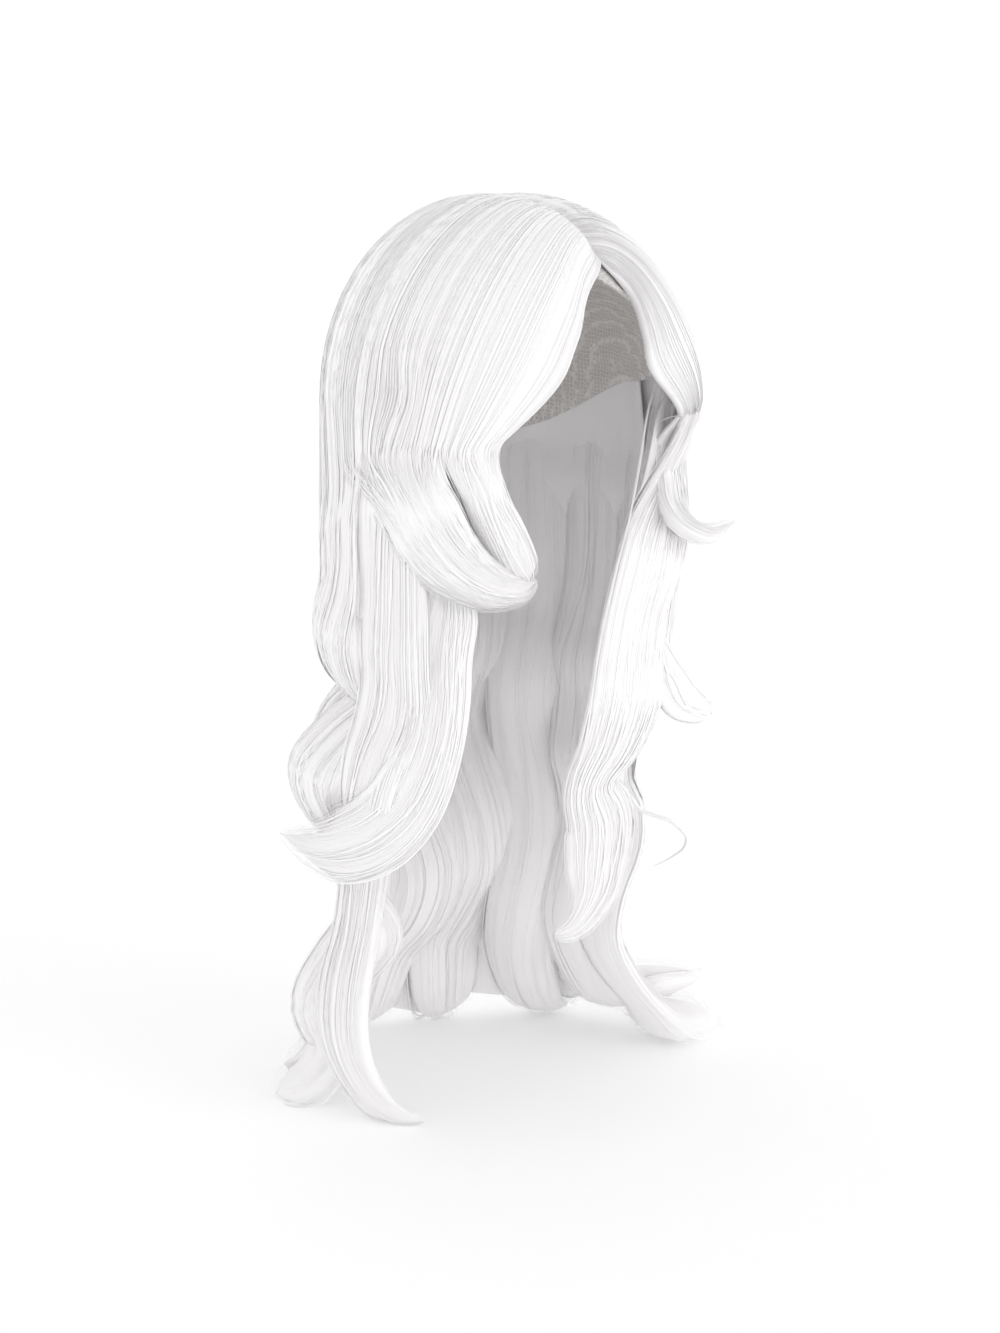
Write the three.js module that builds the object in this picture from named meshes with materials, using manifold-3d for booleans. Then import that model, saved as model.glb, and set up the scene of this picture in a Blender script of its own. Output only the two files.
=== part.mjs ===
// A long wavy wig, held in the shape it has when worn: a thin cap, hair combed down both
// sides of a parting, curtain bangs, and long waved locks whose ends lie on the table.
// Millimetres, +Z up. The origin is the inside top of the cap, the wearer faces -Y.
import * as THREE from "three";
import { mergeVertices } from "three/addons/utils/BufferGeometryUtils.js";
import Module from "manifold-3d";

const wasm = await Module();
wasm.setup();

// The head that the cap fits, and the cap
const headHalfWidth = 78;
const headHalfDepth = 100;
const headRise = 101;
const capWall = 2;

// The hair: its depth over the cap, its fall from the cap's top to the table, how far the
// hanging hair stands out beside the head, so from the middle line, and one lock's full
// width and depth
const crownDepth = 18;
const fall = 505;
const standOut = 32;
const reach = headHalfWidth + standOut;
const lockWide = 44;
const lockDeep = 18;

// Clearances, the thinnest edge of combed hair, the least half size of a lock, and the
// finest steps of the meshed forms
const gap = 0.3;
const facetSag = 1.5;
const edgeDepth = 2.5;
const leastHalf = 1;
const weldStep = 1e-3;
const stationStep = 18;
const capColumns = 28;
const capRows = 7;
const shapedSides = 10;
const hangingSides = 8;

const hairWhite = { color: 0xf0eeee, roughness: 0.5, metalness: 0 };
const netWhite = { color: 0xe9e5e2, roughness: 0.85, metalness: 0 };

// The head. Degrees around run from 0 in front, positive to the wearer's right. Degrees of
// dip run from 0 at the top to 90 at the widest level, and go on straight down from there.
function onHead(around, dip, lift) {
  const turn = THREE.MathUtils.degToRad(around);
  const bend = THREE.MathUtils.degToRad(Math.min(dip, 90));
  const aim = new THREE.Vector3(
    -Math.sin(turn) * Math.sin(bend),
    -Math.cos(turn) * Math.sin(bend),
    Math.cos(bend),
  );
  const size = 1 / Math.hypot(aim.x / headHalfWidth, aim.y / headHalfDepth, aim.z / headRise);
  const below = THREE.MathUtils.degToRad(Math.max(dip - 90, 0)) * headRise;
  return aim.multiplyScalar(size + lift).add(new THREE.Vector3(0, 0, -headRise - below));
}

function toHead(point) {
  const around = THREE.MathUtils.radToDeg(Math.atan2(-point.x, -point.y));
  const rise = point.z + headRise;
  if (rise < 0) return { around, dip: 90 + THREE.MathUtils.radToDeg(-rise / headRise) };
  const dip = THREE.MathUtils.radToDeg(Math.acos(rise / Math.hypot(point.x, point.y, rise)));
  return { around, dip };
}

// A combed path over the head from one place to another
function comb(from, to, share) {
  const start = onHead(from.around, from.dip, 0);
  return toHead(start.lerp(onHead(to.around, to.dip, 0), share));
}

// A smooth reading of a table at a value of its first column
function read(table, at, column) {
  const last = table.length - 1;
  let row = 0;
  while (row < last - 1 && at > table[row + 1][0]) row += 1;
  const slope = (index) => {
    const before = table[Math.max(index - 1, 0)];
    const after = table[Math.min(index + 1, last)];
    return (after[column] - before[column]) / (after[0] - before[0]);
  };
  const span = table[row + 1][0] - table[row][0];
  const share = Math.min(Math.max((at - table[row][0]) / span, 0), 1);
  const turned = share * share * (3 - 2 * share);
  const leave = share * (1 - share) * (1 - share) * slope(row) * span;
  const arrive = share * share * (share - 1) * slope(row + 1) * span;
  return table[row][column] * (1 - turned) + table[row + 1][column] * turned + leave + arrive;
}

// Solids from vertices and triangles, and back
function geometryOf(positions, triangles) {
  const geometry = new THREE.BufferGeometry();
  geometry.setAttribute("position", new THREE.Float32BufferAttribute(positions, 3));
  geometry.setIndex(triangles);
  return geometry;
}

function solidOf(geometry) {
  const bare = mergeVertices(geometry, weldStep);
  return new wasm.Manifold(
    new wasm.Mesh({
      numProp: 3,
      vertProperties: new Float32Array(bare.attributes.position.array),
      triVerts: new Uint32Array(bare.index.array),
    }),
  );
}

function meshOf(name, solid, look) {
  const shape = solid.getMesh();
  const geometry = geometryOf(Array.from(shape.vertProperties), Array.from(shape.triVerts));
  const mesh = new THREE.Mesh(geometry, new THREE.MeshStandardMaterial(look));
  mesh.name = name;
  return mesh;
}

// A closed sheet of hair or cloth over the head from a grid of places, each with an inner
// and an outer lift. Rows run across the comb lines and columns run along them.
function sheet(grid) {
  const rows = grid.length;
  const columns = grid[0].length;
  const positions = [];
  const triangles = [];
  for (const face of ["inner", "outer"]) {
    for (const row of grid) {
      for (const cell of row) positions.push(...onHead(cell.around, cell.dip, cell[face]));
    }
  }
  const at = (row, column, outer) => (outer ? rows * columns : 0) + row * columns + column;
  const quad = (a, b, c, d) => triangles.push(a, b, c, a, c, d);
  for (let row = 0; row < rows - 1; row += 1) {
    for (let column = 0; column < columns - 1; column += 1) {
      const ring = [
        [row, column], [row, column + 1], [row + 1, column + 1], [row + 1, column],
      ];
      quad(...ring.map(([r, c]) => at(r, c, true)));
      quad(...ring.reverse().map(([r, c]) => at(r, c, false)));
    }
  }
  const wall = (r, c, r2, c2) =>
    quad(at(r, c, true), at(r, c, false), at(r2, c2, false), at(r2, c2, true));
  for (let column = 0; column < columns - 1; column += 1) {
    wall(0, column, 0, column + 1);
    wall(rows - 1, column + 1, rows - 1, column);
  }
  for (let row = 0; row < rows - 1; row += 1) {
    wall(row + 1, 0, row, 0);
    wall(row, columns - 1, row + 1, columns - 1);
  }
  const solid = solidOf(geometryOf(positions, triangles));
  return solid.volume() > 0 ? solid : solidOf(geometryOf(positions, triangles.reverse()));
}

// The cap: a stretch net cut high over the forehead and low at the nape
const capHem = [
  [0, 30], [30, 52], [60, 80], [95, 92], [130, 108], [180, 122],
];

function capSolid(grow = 0) {
  const positions = [];
  const triangles = [];
  for (const lift of [-grow, capWall + grow]) {
    positions.push(...onHead(0, 0, lift));
    for (let row = 1; row <= capRows; row += 1) {
      for (let column = 0; column < capColumns; column += 1) {
        const around = 360 * (column / capColumns) - 180;
        const dip = (read(capHem, Math.abs(around), 1) + grow) * (row / capRows);
        positions.push(...onHead(around, dip, lift));
      }
    }
  }
  const shell = 1 + capRows * capColumns;
  const at = (row, column, outer) =>
    outer * shell + (row === 0 ? 0 : 1 + (row - 1) * capColumns + (column % capColumns));
  for (let column = 0; column < capColumns; column += 1) {
    triangles.push(at(0, 0, 1), at(1, column + 1, 1), at(1, column, 1));
    triangles.push(at(0, 0, 0), at(1, column, 0), at(1, column + 1, 0));
    for (let row = 1; row < capRows; row += 1) {
      const ring = (outer) => [
        at(row, column, outer), at(row, column + 1, outer),
        at(row + 1, column + 1, outer), at(row + 1, column, outer),
      ];
      const [a, b, c, d] = ring(1);
      triangles.push(a, b, c, a, c, d);
      const [e, f, g, h] = ring(0);
      triangles.push(e, g, f, e, h, g);
    }
    const low = [at(capRows, column, 0), at(capRows, column + 1, 0)];
    const high = [at(capRows, column, 1), at(capRows, column + 1, 1)];
    triangles.push(high[0], high[1], low[1], high[0], low[1], low[0]);
  }
  const solid = solidOf(geometryOf(positions, triangles));
  return solid.volume() > 0 ? solid : solidOf(geometryOf(positions, triangles.reverse()));
}

// The parting runs from the front root back to the whorl, a little left of the middle
const seamRoot = { around: -34, dip: 17 };
const whorl = { around: 180, dip: 19 };

// Each side's lower edge of the combed hair: degrees around and of dip, front to back
const crownHem = [
  [62, 99], [76, 103], [92, 109], [108, 117], [126, 124], [144, 129], [162, 132], [179.7, 134],
];

// The front edge of each bang from the parting down to beside the eye
const bangEdges = {
  right: [[-19, 34], [4, 45], [15, 60], [22, 71], [35, 84], [49, 97]],
  left: [[-19, 34], [-20, 47], [-15, 60], [-13, 72], [-29, 86], [-48, 97]],
};

// How deep the combed hair is along its path: share down the path, inner and outer share.
// At the back it lies a little flatter.
const combDepth = [
  [0, 0, 0.45], [0.12, 0, 0.9], [0.3, 0, 1.12], [0.6, 0, 1.15], [0.8, 0.42, 1.15],
  [1, 0.94, 1.15],
];
const backFlat = 0.1;

function combedCell(place, share, grow, edge) {
  const clear = capWall + facetSag + gap;
  const outer = Math.max(crownDepth * read(combDepth, share, 2) * edge, clear + edgeDepth);
  const inner = clear + (outer - edgeDepth - clear) * read(combDepth, share, 1);
  return { ...place, inner: inner - grow, outer: outer + grow };
}

// The combed hair of one side, behind its bang. Its comb lines leave the parting closest
// together at the whorl. The dent is the soft hollow over the ear.
const combRows = 9;
const rootCrowding = 1.5;
const dent = { around: 78, dip: 83, wide: 13, deep: 0.28 };

function crownSolid(side, grow = 0) {
  const grid = [];
  crownHem.forEach(([around, dip], index) => {
    const back = index / (crownHem.length - 1);
    const rootShare = 1 - (1 - back) ** rootCrowding;
    const root = comb(seamRoot, whorl, rootShare);
    const spread = onHead(root.around, root.dip, 0);
    spread.x += -side * gap;
    const hem = { around: side * (around + grow * (2 * back - 1)), dip: dip + grow };
    grid.push(
      Array.from({ length: combRows }, (_, row) => {
        const share = row / (combRows - 1);
        const place = comb(toHead(spread), hem, share);
        const far = Math.hypot(place.around - dent.around, place.dip - dent.dip) / dent.wide;
        const hollow = 1 - dent.deep * Math.exp(-far * far);
        const flat = 1 - backFlat * back * Math.sin(share * Math.PI);
        return combedCell(place, share, grow, hollow * flat);
      }),
    );
  });
  return sheet(grid);
}

// A bang: hair from the front of the parting, swept back past the temple. It reaches almost
// to the combed hair behind it, and its front edge is rolled thin over part of its width.
const bangRows = 10;
const bangColumns = 5;
const bangReach = 0.985;
const rolledEdge = 0.42;
const rolledPart = 2 / 3;

function bangSolid(side, edge, grow = 0) {
  const seamEnd = { around: side * crownHem[0][0], dip: crownHem[0][1] };
  const seamStart = onHead(seamRoot.around, seamRoot.dip, 0);
  seamStart.x += -side * gap;
  const grid = [];
  for (let column = 0; column < bangColumns; column += 1) {
    const across = (column / (bangColumns - 1)) * bangReach;
    const roll = Math.sin(Math.min(across / rolledPart, 1) * (Math.PI / 2));
    const rounded = rolledEdge + (1 - rolledEdge) * roll;
    grid.push(
      Array.from({ length: bangRows }, (_, row) => {
        const share = row / (bangRows - 1);
        const at = share * (edge.length - 1);
        const rows = edge.map((entry, index) => [index, ...entry]);
        const front = { around: read(rows, at, 1), dip: read(rows, at, 2) };
        const start = onHead(front.around, front.dip, 0);
        start.x += -side * gap;
        const seam = comb(toHead(seamStart), seamEnd, share);
        const place = comb(toHead(start), seam, across);
        return combedCell(place, share, grow, rounded);
      }),
    );
  }
  return sheet(grid);
}

// A lock: an oval section carried down a spine. Each row of its table holds degrees around,
// then shares of the fall, of the reach, of the full width and of the full depth.
function spineOf(rows) {
  const points = rows.map(([around, down, out, wide, deep]) => {
    const turn = THREE.MathUtils.degToRad(around);
    const low = Math.min(down * fall, fall - (deep * lockDeep) / 2);
    return new THREE.Vector3(-Math.sin(turn) * out * reach, -Math.cos(turn) * out * reach, -low);
  });
  const sizes = rows.map(([, , , wide, deep]) => new THREE.Vector3(wide, deep, 0));
  return {
    path: new THREE.CatmullRomCurve3(points, false, "centripetal"),
    sizes: new THREE.CatmullRomCurve3(sizes, false, "catmullrom"),
    spans: points.slice(1).map((point, index) => point.distanceTo(points[index])),
  };
}

function lockSolid(rows, facing, sides, grow = 0) {
  const { path, sizes, spans } = spineOf(rows);
  const stations = [0];
  spans.forEach((span, index) => {
    const steps = Math.max(Math.round(span / stationStep), 1);
    for (let step = 1; step <= steps; step += 1) {
      stations.push((index + step / steps) / spans.length);
    }
  });
  const positions = [];
  const triangles = [];
  const turned = THREE.MathUtils.degToRad(facing);
  const out = new THREE.Vector3(-Math.sin(turned), -Math.cos(turned), 0);
  stations.forEach((station) => {
    const middle = path.getPoint(station);
    const along = path.getTangent(station);
    out.addScaledVector(along, -out.dot(along)).normalize();
    const across = new THREE.Vector3().crossVectors(out, along);
    const size = sizes.getPoint(station);
    const halfWide = Math.max((size.x * lockWide) / 2, leastHalf) + grow;
    const halfDeep = Math.max((size.y * lockDeep) / 2, leastHalf) + grow;
    middle.z = Math.max(middle.z, halfDeep - fall - grow);
    for (let side = 0; side < sides; side += 1) {
      const turn = (2 * Math.PI * side) / sides;
      const corner = middle
        .clone()
        .addScaledVector(across, halfWide * Math.cos(turn))
        .addScaledVector(out, halfDeep * Math.sin(turn));
      corner.z = Math.max(corner.z, -fall - grow);
      positions.push(...corner);
    }
  });
  for (const station of [0, 1]) {
    const past = (2 * station - 1) * (leastHalf + grow);
    positions.push(...path.getPoint(station).addScaledVector(path.getTangent(station), past));
  }
  const rings = stations.length;
  for (let ring = 0; ring < rings - 1; ring += 1) {
    for (let side = 0; side < sides; side += 1) {
      const next = (side + 1) % sides;
      const [a, b] = [ring * sides + side, ring * sides + next];
      triangles.push(a, b, b + sides, a, b + sides, a + sides);
    }
  }
  for (let side = 0; side < sides; side += 1) {
    const next = (side + 1) % sides;
    triangles.push(rings * sides, next, side);
    triangles.push(rings * sides + 1, (rings - 1) * sides + side, (rings - 1) * sides + next);
  }
  const solid = solidOf(geometryOf(positions, triangles));
  return solid.volume() > 0 ? solid : solidOf(geometryOf(positions, triangles.reverse()));
}

// Locks with a course of their own: the degrees around that the broad side faces, then rows
// with the columns of spineOf. An earlier one keeps its shape where two meet.
const shapedLocks = {
  sweep_lock_right: {
    facing: 74,
    rows: [
      [90, 0.195, 0.8, 0.6, 0.3], [79, 0.232, 0.895, 1, 0.65], [67, 0.283, 0.945, 1.25, 1],
      [58, 0.321, 0.95, 1.08, 1], [49, 0.345, 0.92, 0.78, 1], [41, 0.358, 0.87, 0.58, 0.9],
      [34, 0.361, 0.82, 0.42, 0.7], [29, 0.356, 0.79, 0.16, 0.3],
    ],
  },
  face_lock_right: {
    facing: 50,
    rows: [
      [53, 0.19, 0.83, 0.6, 0.3], [49, 0.23, 0.87, 0.6, 0.65], [45, 0.269, 0.87, 0.62, 0.85],
      [40, 0.303, 0.86, 0.64, 0.9], [36, 0.331, 0.85, 0.56, 0.8], [34, 0.346, 0.83, 0.38, 0.6],
      [33, 0.355, 0.81, 0.12, 0.2],
    ],
  },
  wing_lock_right: {
    facing: 60,
    rows: [
      [60, 0.35, 0.8, 0.5, 0.4], [60, 0.39, 0.83, 0.85, 0.5], [61, 0.437, 0.86, 0.85, 0.6],
      [61, 0.491, 0.88, 0.82, 0.65], [63, 0.542, 0.92, 0.85, 0.7], [69, 0.6, 0.97, 0.95, 0.7],
      [78, 0.638, 1.03, 1.05, 0.7], [91, 0.664, 1.08, 0.98, 0.65], [104, 0.676, 1.13, 0.62, 0.5],
      [122, 0.687, 1.18, 0.12, 0.25],
    ],
  },
  face_lock_left: {
    facing: -30,
    rows: [
      [-60, 0.19, 0.82, 0.6, 0.3], [-52, 0.235, 0.8, 0.75, 0.6], [-40, 0.28, 0.82, 0.8, 0.8],
      [-32, 0.31, 0.88, 0.8, 0.85], [-31, 0.325, 0.97, 0.7, 0.75], [-35, 0.33, 1.05, 0.5, 0.55],
      [-42, 0.323, 1.14, 0.12, 0.2],
    ],
  },
  shoulder_lock_left: {
    facing: 8,
    rows: [
      [-46, 0.21, 0.76, 0.5, 0.4], [-35, 0.27, 0.77, 0.75, 0.6], [-27, 0.327, 0.79, 1.05, 0.9],
      [-22, 0.363, 0.79, 1.15, 1], [-16, 0.409, 0.77, 1.08, 1], [-14, 0.46, 0.75, 1.16, 1],
      [-13, 0.51, 0.74, 1.3, 1], [-10, 0.556, 0.69, 1.18, 1], [-4, 0.606, 0.6, 0.85, 0.95],
      [-11, 0.65, 0.6, 1.1, 0.95], [-10, 0.692, 0.6, 1.05, 0.92], [-7, 0.729, 0.6, 0.86, 0.8],
      [0, 0.753, 0.61, 0.6, 0.62], [9, 0.768, 0.63, 0.36, 0.42], [18, 0.771, 0.65, 0.12, 0.2],
    ],
  },
  flick_lock_left: {
    facing: 0,
    rows: [
      [-28, 0.45, 0.8, 0.3, 0.4], [-33, 0.485, 0.83, 0.5, 0.55], [-37, 0.517, 0.89, 0.66, 0.6],
      [-44, 0.54, 0.98, 0.45, 0.45], [-49, 0.552, 1.03, 0.12, 0.2],
    ],
  },
  side_lock_right_1: {
    facing: 85,
    rows: [
      [80, 0.2, 0.845, 0.9, 0.16], [81, 0.3, 0.845, 1.15, 0.7], [79, 0.39, 0.87, 1.25, 0.95],
      [78, 0.444, 0.89, 1.28, 1], [80, 0.487, 0.85, 1.28, 1], [82, 0.53, 0.87, 1.25, 1],
      [82, 0.568, 0.97, 1.15, 1], [84, 0.606, 0.99, 1.02, 1], [90, 0.644, 0.91, 1, 1],
      [97, 0.681, 0.85, 0.95, 1], [105, 0.733, 0.81, 0.86, 1], [106, 0.788, 0.84, 0.85, 1],
      [102, 0.842, 0.93, 0.94, 1], [101, 0.895, 0.95, 0.95, 1], [98, 0.94, 0.91, 0.82, 0.9],
      [91, 0.975, 0.84, 0.68, 0.7], [83, 1, 0.76, 0.52, 0.5], [79, 1, 0.71, 0.34, 0.4],
      [77, 1, 0.69, 0.14, 0.2],
    ],
  },
};

// How far out the hanging hair's face stands down the fall, as shares of the reach, at the
// wearer's right, at the back and at the left
const waves = [
  [0.2, 0.97, 0.99, 0.9], [0.3, 0.97, 1, 0.9], [0.39, 0.965, 0.98, 0.9],
  [0.444, 1.01, 1.05, 0.87], [0.487, 0.95, 0.98, 0.84], [0.53, 0.8, 0.89, 0.8],
  [0.568, 0.98, 0.95, 0.84], [0.606, 1.12, 1.1, 0.76], [0.644, 1.08, 1.12, 0.72],
  [0.681, 0.95, 1.02, 0.8], [0.733, 0.9, 0.9, 0.82], [0.788, 0.78, 0.88, 0.74],
  [0.842, 0.95, 1, 0.72], [0.895, 1.07, 1.16, 0.84], [0.94, 1, 1.12, 1],
];
const locksFrom = waves[0][0];
const wavesFrom = 0.45;

// The hanging locks: degrees around at the root and gained by the end, sideways sway in
// degrees with its phase, how late the waves run as a share of the fall, width, the share
// read from the right, the back and the left, and where the end lies: degrees around, share
// of the reach and, for one that lies on its neighbour, share of the fall. Puff is how much
// fuller than the others its lying end is.
const hangingLocks = [
  { name: "side_lock_right_2", around: 107, gain: 13, sway: 4, phase: 30, late: 0,
    wide: 1.2, mix: [1, 0, 0], end: [121, 1.22] },
  { name: "side_lock_right_3", around: 133, gain: 5, sway: 5, phase: 60, late: 0.012,
    wide: 1.25, mix: [0.9, 0.1, 0], end: [140, 1.16] },
  { name: "back_lock_1", around: 157, gain: 2, sway: 6, phase: 80, late: -0.02,
    wide: 1.2, mix: [0.4, 0.6, 0], end: [166, 1.2] },
  { name: "back_lock_2", around: 181, gain: 0, sway: 6, phase: 110, late: 0.02,
    wide: 1.2, mix: [0, 1, 0], end: [178, 1.3] },
  { name: "back_lock_3", around: 205, gain: -2, sway: 6, phase: 140, late: -0.015,
    wide: 1.2, mix: [0, 0.9, 0.1], end: [202, 1.18] },
  { name: "back_lock_4", around: 229, gain: -3, sway: 5, phase: 180, late: 0.02,
    wide: 1.2, mix: [0, 0.5, 0.5], end: [232, 1.24] },
  { name: "side_lock_left_2", around: 253, gain: -2, sway: 4, phase: 220, late: 0.012,
    wide: 1.15, mix: [0, 0.12, 0.88], end: [264, 1.41, 0.942], puff: 1.8 },
  { name: "side_lock_left_1", around: 276, gain: -12, sway: 3, phase: 260, late: 0,
    wide: 1, mix: [0, 0, 1], end: [268, 1.38], puff: 1.75 },
];

// A lock's width and depth down the fall, as shares of its full size
const taper = [
  [0.2, 0.7, 0.16], [0.26, 0.9, 0.5], [0.33, 1, 0.9], [0.5, 1, 1], [0.7, 1, 1], [0.85, 0.95, 1],
  [0.94, 0.85, 0.95],
];
const waveTurns = 2.6;

// The lying end of a lock: share of the way to its end, then fall, width and depth shares
const tail = [
  [0.35, 0.975, 0.76, 0.85], [0.75, 1, 0.66, 0.75], [0.95, 1, 0.42, 0.6], [1, 1, 0.16, 0.35],
];

// Above their waves, the locks' faces keep inside the hem of the combed hair
const hemDepth = crownDepth * combDepth[combDepth.length - 1][2];
const hemInside = hemDepth - edgeDepth - facetSag - gap;

function hangingRows({ around, gain, sway, phase, late, wide, mix, end, puff = 1 }) {
  const rows = waves.map(([down]) => {
    const share = (down - locksFrom) / (1 - locksFrom);
    const swing = Math.sin(THREE.MathUtils.degToRad(360 * waveTurns * share + phase));
    const turn = around + gain * share + sway * swing * share;
    const deep = read(taper, down, 2);
    const waved = mix.reduce(
      (sum, part, side) => sum + part * read(waves, down - late, side + 1),
      0,
    );
    const loose = THREE.MathUtils.smoothstep(down, locksFrom, wavesFrom);
    const side = onHead(turn, 90, hemInside);
    const face = THREE.MathUtils.lerp(Math.hypot(side.x, side.y) / reach, waved, loose);
    return [turn, down, face - (deep * lockDeep) / 2 / reach, wide * read(taper, down, 1), deep];
  });
  const [lastAround, , lastOut] = rows[rows.length - 1];
  tail.forEach(([share, down, width, deep]) => {
    const turn = lastAround + (end[0] - lastAround) * share;
    const low = Math.min(down, end[2] ?? 1);
    const out = lastOut + (end[1] - lastOut) * share;
    rows.push([turn, low, out, wide * width * puff, deep * puff]);
  });
  return rows;
}

// Assembly: each solid is cut clear of the ones before it, and keeps its largest body
const wig = new THREE.Group();
const placed = [];

function largest(solid) {
  const bodies = solid.decompose();
  return bodies.reduce((best, body) => (body.volume() > best.volume() ? body : best));
}

function place(name, make, look) {
  let solid = make(0);
  for (const other of placed) solid = solid.subtract(other);
  wig.add(meshOf(name, largest(solid), look));
  placed.push(make(gap));
}

place("wig_cap", capSolid, netWhite);
place("crown_right", (grow) => crownSolid(1, grow), hairWhite);
place("crown_left", (grow) => crownSolid(-1, grow), hairWhite);
place("bang_right", (grow) => bangSolid(1, bangEdges.right, grow), hairWhite);
place("bang_left", (grow) => bangSolid(-1, bangEdges.left, grow), hairWhite);
for (const [name, { facing, rows }] of Object.entries(shapedLocks)) {
  place(name, (grow) => lockSolid(rows, facing, shapedSides, grow), hairWhite);
}
for (const row of hangingLocks) {
  const rows = hangingRows(row);
  place(row.name, (grow) => lockSolid(rows, row.around, hangingSides, grow), hairWhite);
}

export default wig;
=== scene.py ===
import math

import bpy
import numpy as np
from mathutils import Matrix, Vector
from mathutils.bvhtree import BVHTree


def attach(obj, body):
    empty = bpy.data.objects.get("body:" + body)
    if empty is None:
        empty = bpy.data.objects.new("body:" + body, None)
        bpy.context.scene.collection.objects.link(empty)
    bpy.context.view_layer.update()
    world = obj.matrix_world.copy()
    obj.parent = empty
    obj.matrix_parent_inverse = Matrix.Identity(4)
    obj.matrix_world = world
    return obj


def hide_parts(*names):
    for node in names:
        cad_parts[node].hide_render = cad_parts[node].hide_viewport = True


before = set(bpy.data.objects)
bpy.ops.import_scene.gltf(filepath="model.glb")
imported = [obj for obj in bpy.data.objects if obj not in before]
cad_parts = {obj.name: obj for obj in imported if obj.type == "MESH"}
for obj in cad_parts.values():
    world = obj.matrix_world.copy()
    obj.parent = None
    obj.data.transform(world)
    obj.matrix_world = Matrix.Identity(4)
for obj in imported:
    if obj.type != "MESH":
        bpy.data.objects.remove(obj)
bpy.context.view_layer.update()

# The table and the studio
# The wig stands as it is worn, with its longest ends lying on a plain pale table top.
# Soft light falls on it from the wearer's front, and an even white room fills the rest.

MM = 0.001
table_level = -505.0
table_half = 9.0
table_white = (0.93, 0.93, 0.935)
table_shade = 0.985


def add_node(tree, kind, inputs=None, **settings):
    """A shader node with its settings and the values of its inputs."""
    node = tree.nodes.new("ShaderNode" + kind)
    for name, value in settings.items():
        setattr(node, name, value)
    for name, value in (inputs or {}).items():
        node.inputs[name].default_value = value
    return node


def new_material(name, values):
    """A material whose main shader has these values, with its node tree and that shader."""
    material = bpy.data.materials.new(name)
    material.use_nodes = True
    shader = material.node_tree.nodes["Principled BSDF"]
    for socket, value in values.items():
        shader.inputs[socket].default_value = value
    return material, material.node_tree, shader


def mix_of(tree, share, first, second, result):
    """A colour mix driven by a mask."""
    mix = add_node(tree, "Mix", {"A": (*first, 1), "B": (*second, 1)}, data_type="RGBA")
    tree.links.new(share, mix.inputs["Factor"])
    tree.links.new(mix.outputs["Result"], result)


table_mesh = bpy.data.meshes.new("table_top")
table_mesh.from_pydata(
    [(x * table_half, y * table_half, table_level * MM) for x, y in
     ((-1, -1), (1, -1), (1, 1), (-1, 1))],
    [], [(0, 1, 2, 3)])
table_top = bpy.data.objects.new("table_top", table_mesh)
bpy.context.scene.collection.objects.link(table_top)

table_paint, paint_tree, paint_shader = new_material("table_paint", {
    "Roughness": 0.9, "Specular IOR Level": 0.1, "Emission Color": (1.0, 1.0, 1.0, 1),
    "Emission Strength": 0.15})
paint_grain = add_node(paint_tree, "TexNoise", {"Scale": 3.0})
mix_of(paint_tree, paint_grain.outputs["Fac"], table_white,
       [table_shade * c for c in table_white], paint_shader.inputs["Base Color"])
table_mesh.materials.append(table_paint)

# The white room is brightest low down, where its walls and floor send light back
room_overhead, room_low = 0.71, 1.3
room = bpy.data.worlds.new("white_room")
room.use_nodes = True
room_shader = room.node_tree.nodes["Background"]
room_shader.inputs["Color"].default_value = (1.0, 1.0, 1.0, 1)
room_place = add_node(room.node_tree, "TexCoord")
room_height = add_node(room.node_tree, "SeparateXYZ")
room_tone = add_node(room.node_tree, "MapRange", {"To Min": room_low, "To Max": room_overhead})
for source, target in (
        (room_place.outputs["Generated"], room_height.inputs["Vector"]),
        (room_height.outputs["Z"], room_tone.inputs["Value"]),
        (room_tone.outputs["Result"], room_shader.inputs["Strength"])):
    room.node_tree.links.new(source, target)
bpy.context.scene.world = room
bpy.context.scene.view_settings.view_transform = "Standard"

# A wide soft light from far off, from the direction of this point seen from the wig
light_toward = (0.35, -1.0, 0.2)
light_power = 0.58
light_softness = math.radians(50)
light_data = bpy.data.lights.new("front_light", "SUN")
light_data.energy = light_power
light_data.angle = light_softness
light = bpy.data.objects.new("front_light", light_data)
light.rotation_euler = (math.atan2(math.hypot(*light_toward[:2]), light_toward[2]), 0,
                        math.atan2(light_toward[0], -light_toward[1]))
bpy.context.scene.collection.objects.link(light)

camera_turn = math.radians(-38)
camera_rise = math.radians(16.5)
camera_away = 3.2
camera_aim = (-0.0044, 0.0034, -0.253)
camera_lens = 154.3
camera_data = bpy.data.cameras.new("camera")
camera_data.lens = camera_lens
camera_data.sensor_width = 36
camera_data.clip_end = 60
camera = bpy.data.objects.new("camera", camera_data)
camera.location = (
    camera_aim[0] + camera_away * math.sin(camera_turn) * math.cos(camera_rise),
    camera_aim[1] - camera_away * math.cos(camera_turn) * math.cos(camera_rise),
    camera_aim[2] + camera_away * math.sin(camera_rise))
camera.rotation_euler = (math.pi / 2 - camera_rise, 0, camera_turn)
bpy.context.scene.collection.objects.link(camera)
bpy.context.scene.camera = camera

# The cap
# A thin stretch net, sewn in rings of weft that carry the hair, with a soft band round
# its hem. It is cut high over the forehead and low at the nape.

head_half_wide = 78.0
head_half_deep = 100.0
head_rise = 101.0
cap_wall = 2.0
cap_hem = np.array([(0, 30), (30, 52), (60, 80), (95, 92), (130, 108), (180, 122)], float)


def around_of(points):
    """Degrees around points, from the front to the wearer's right."""
    return np.degrees(np.arctan2(-points[..., 0], -points[..., 1]))


def far_of(points):
    """How far points are from the upright line through the head."""
    return np.hypot(points[..., 0], points[..., 1])


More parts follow.
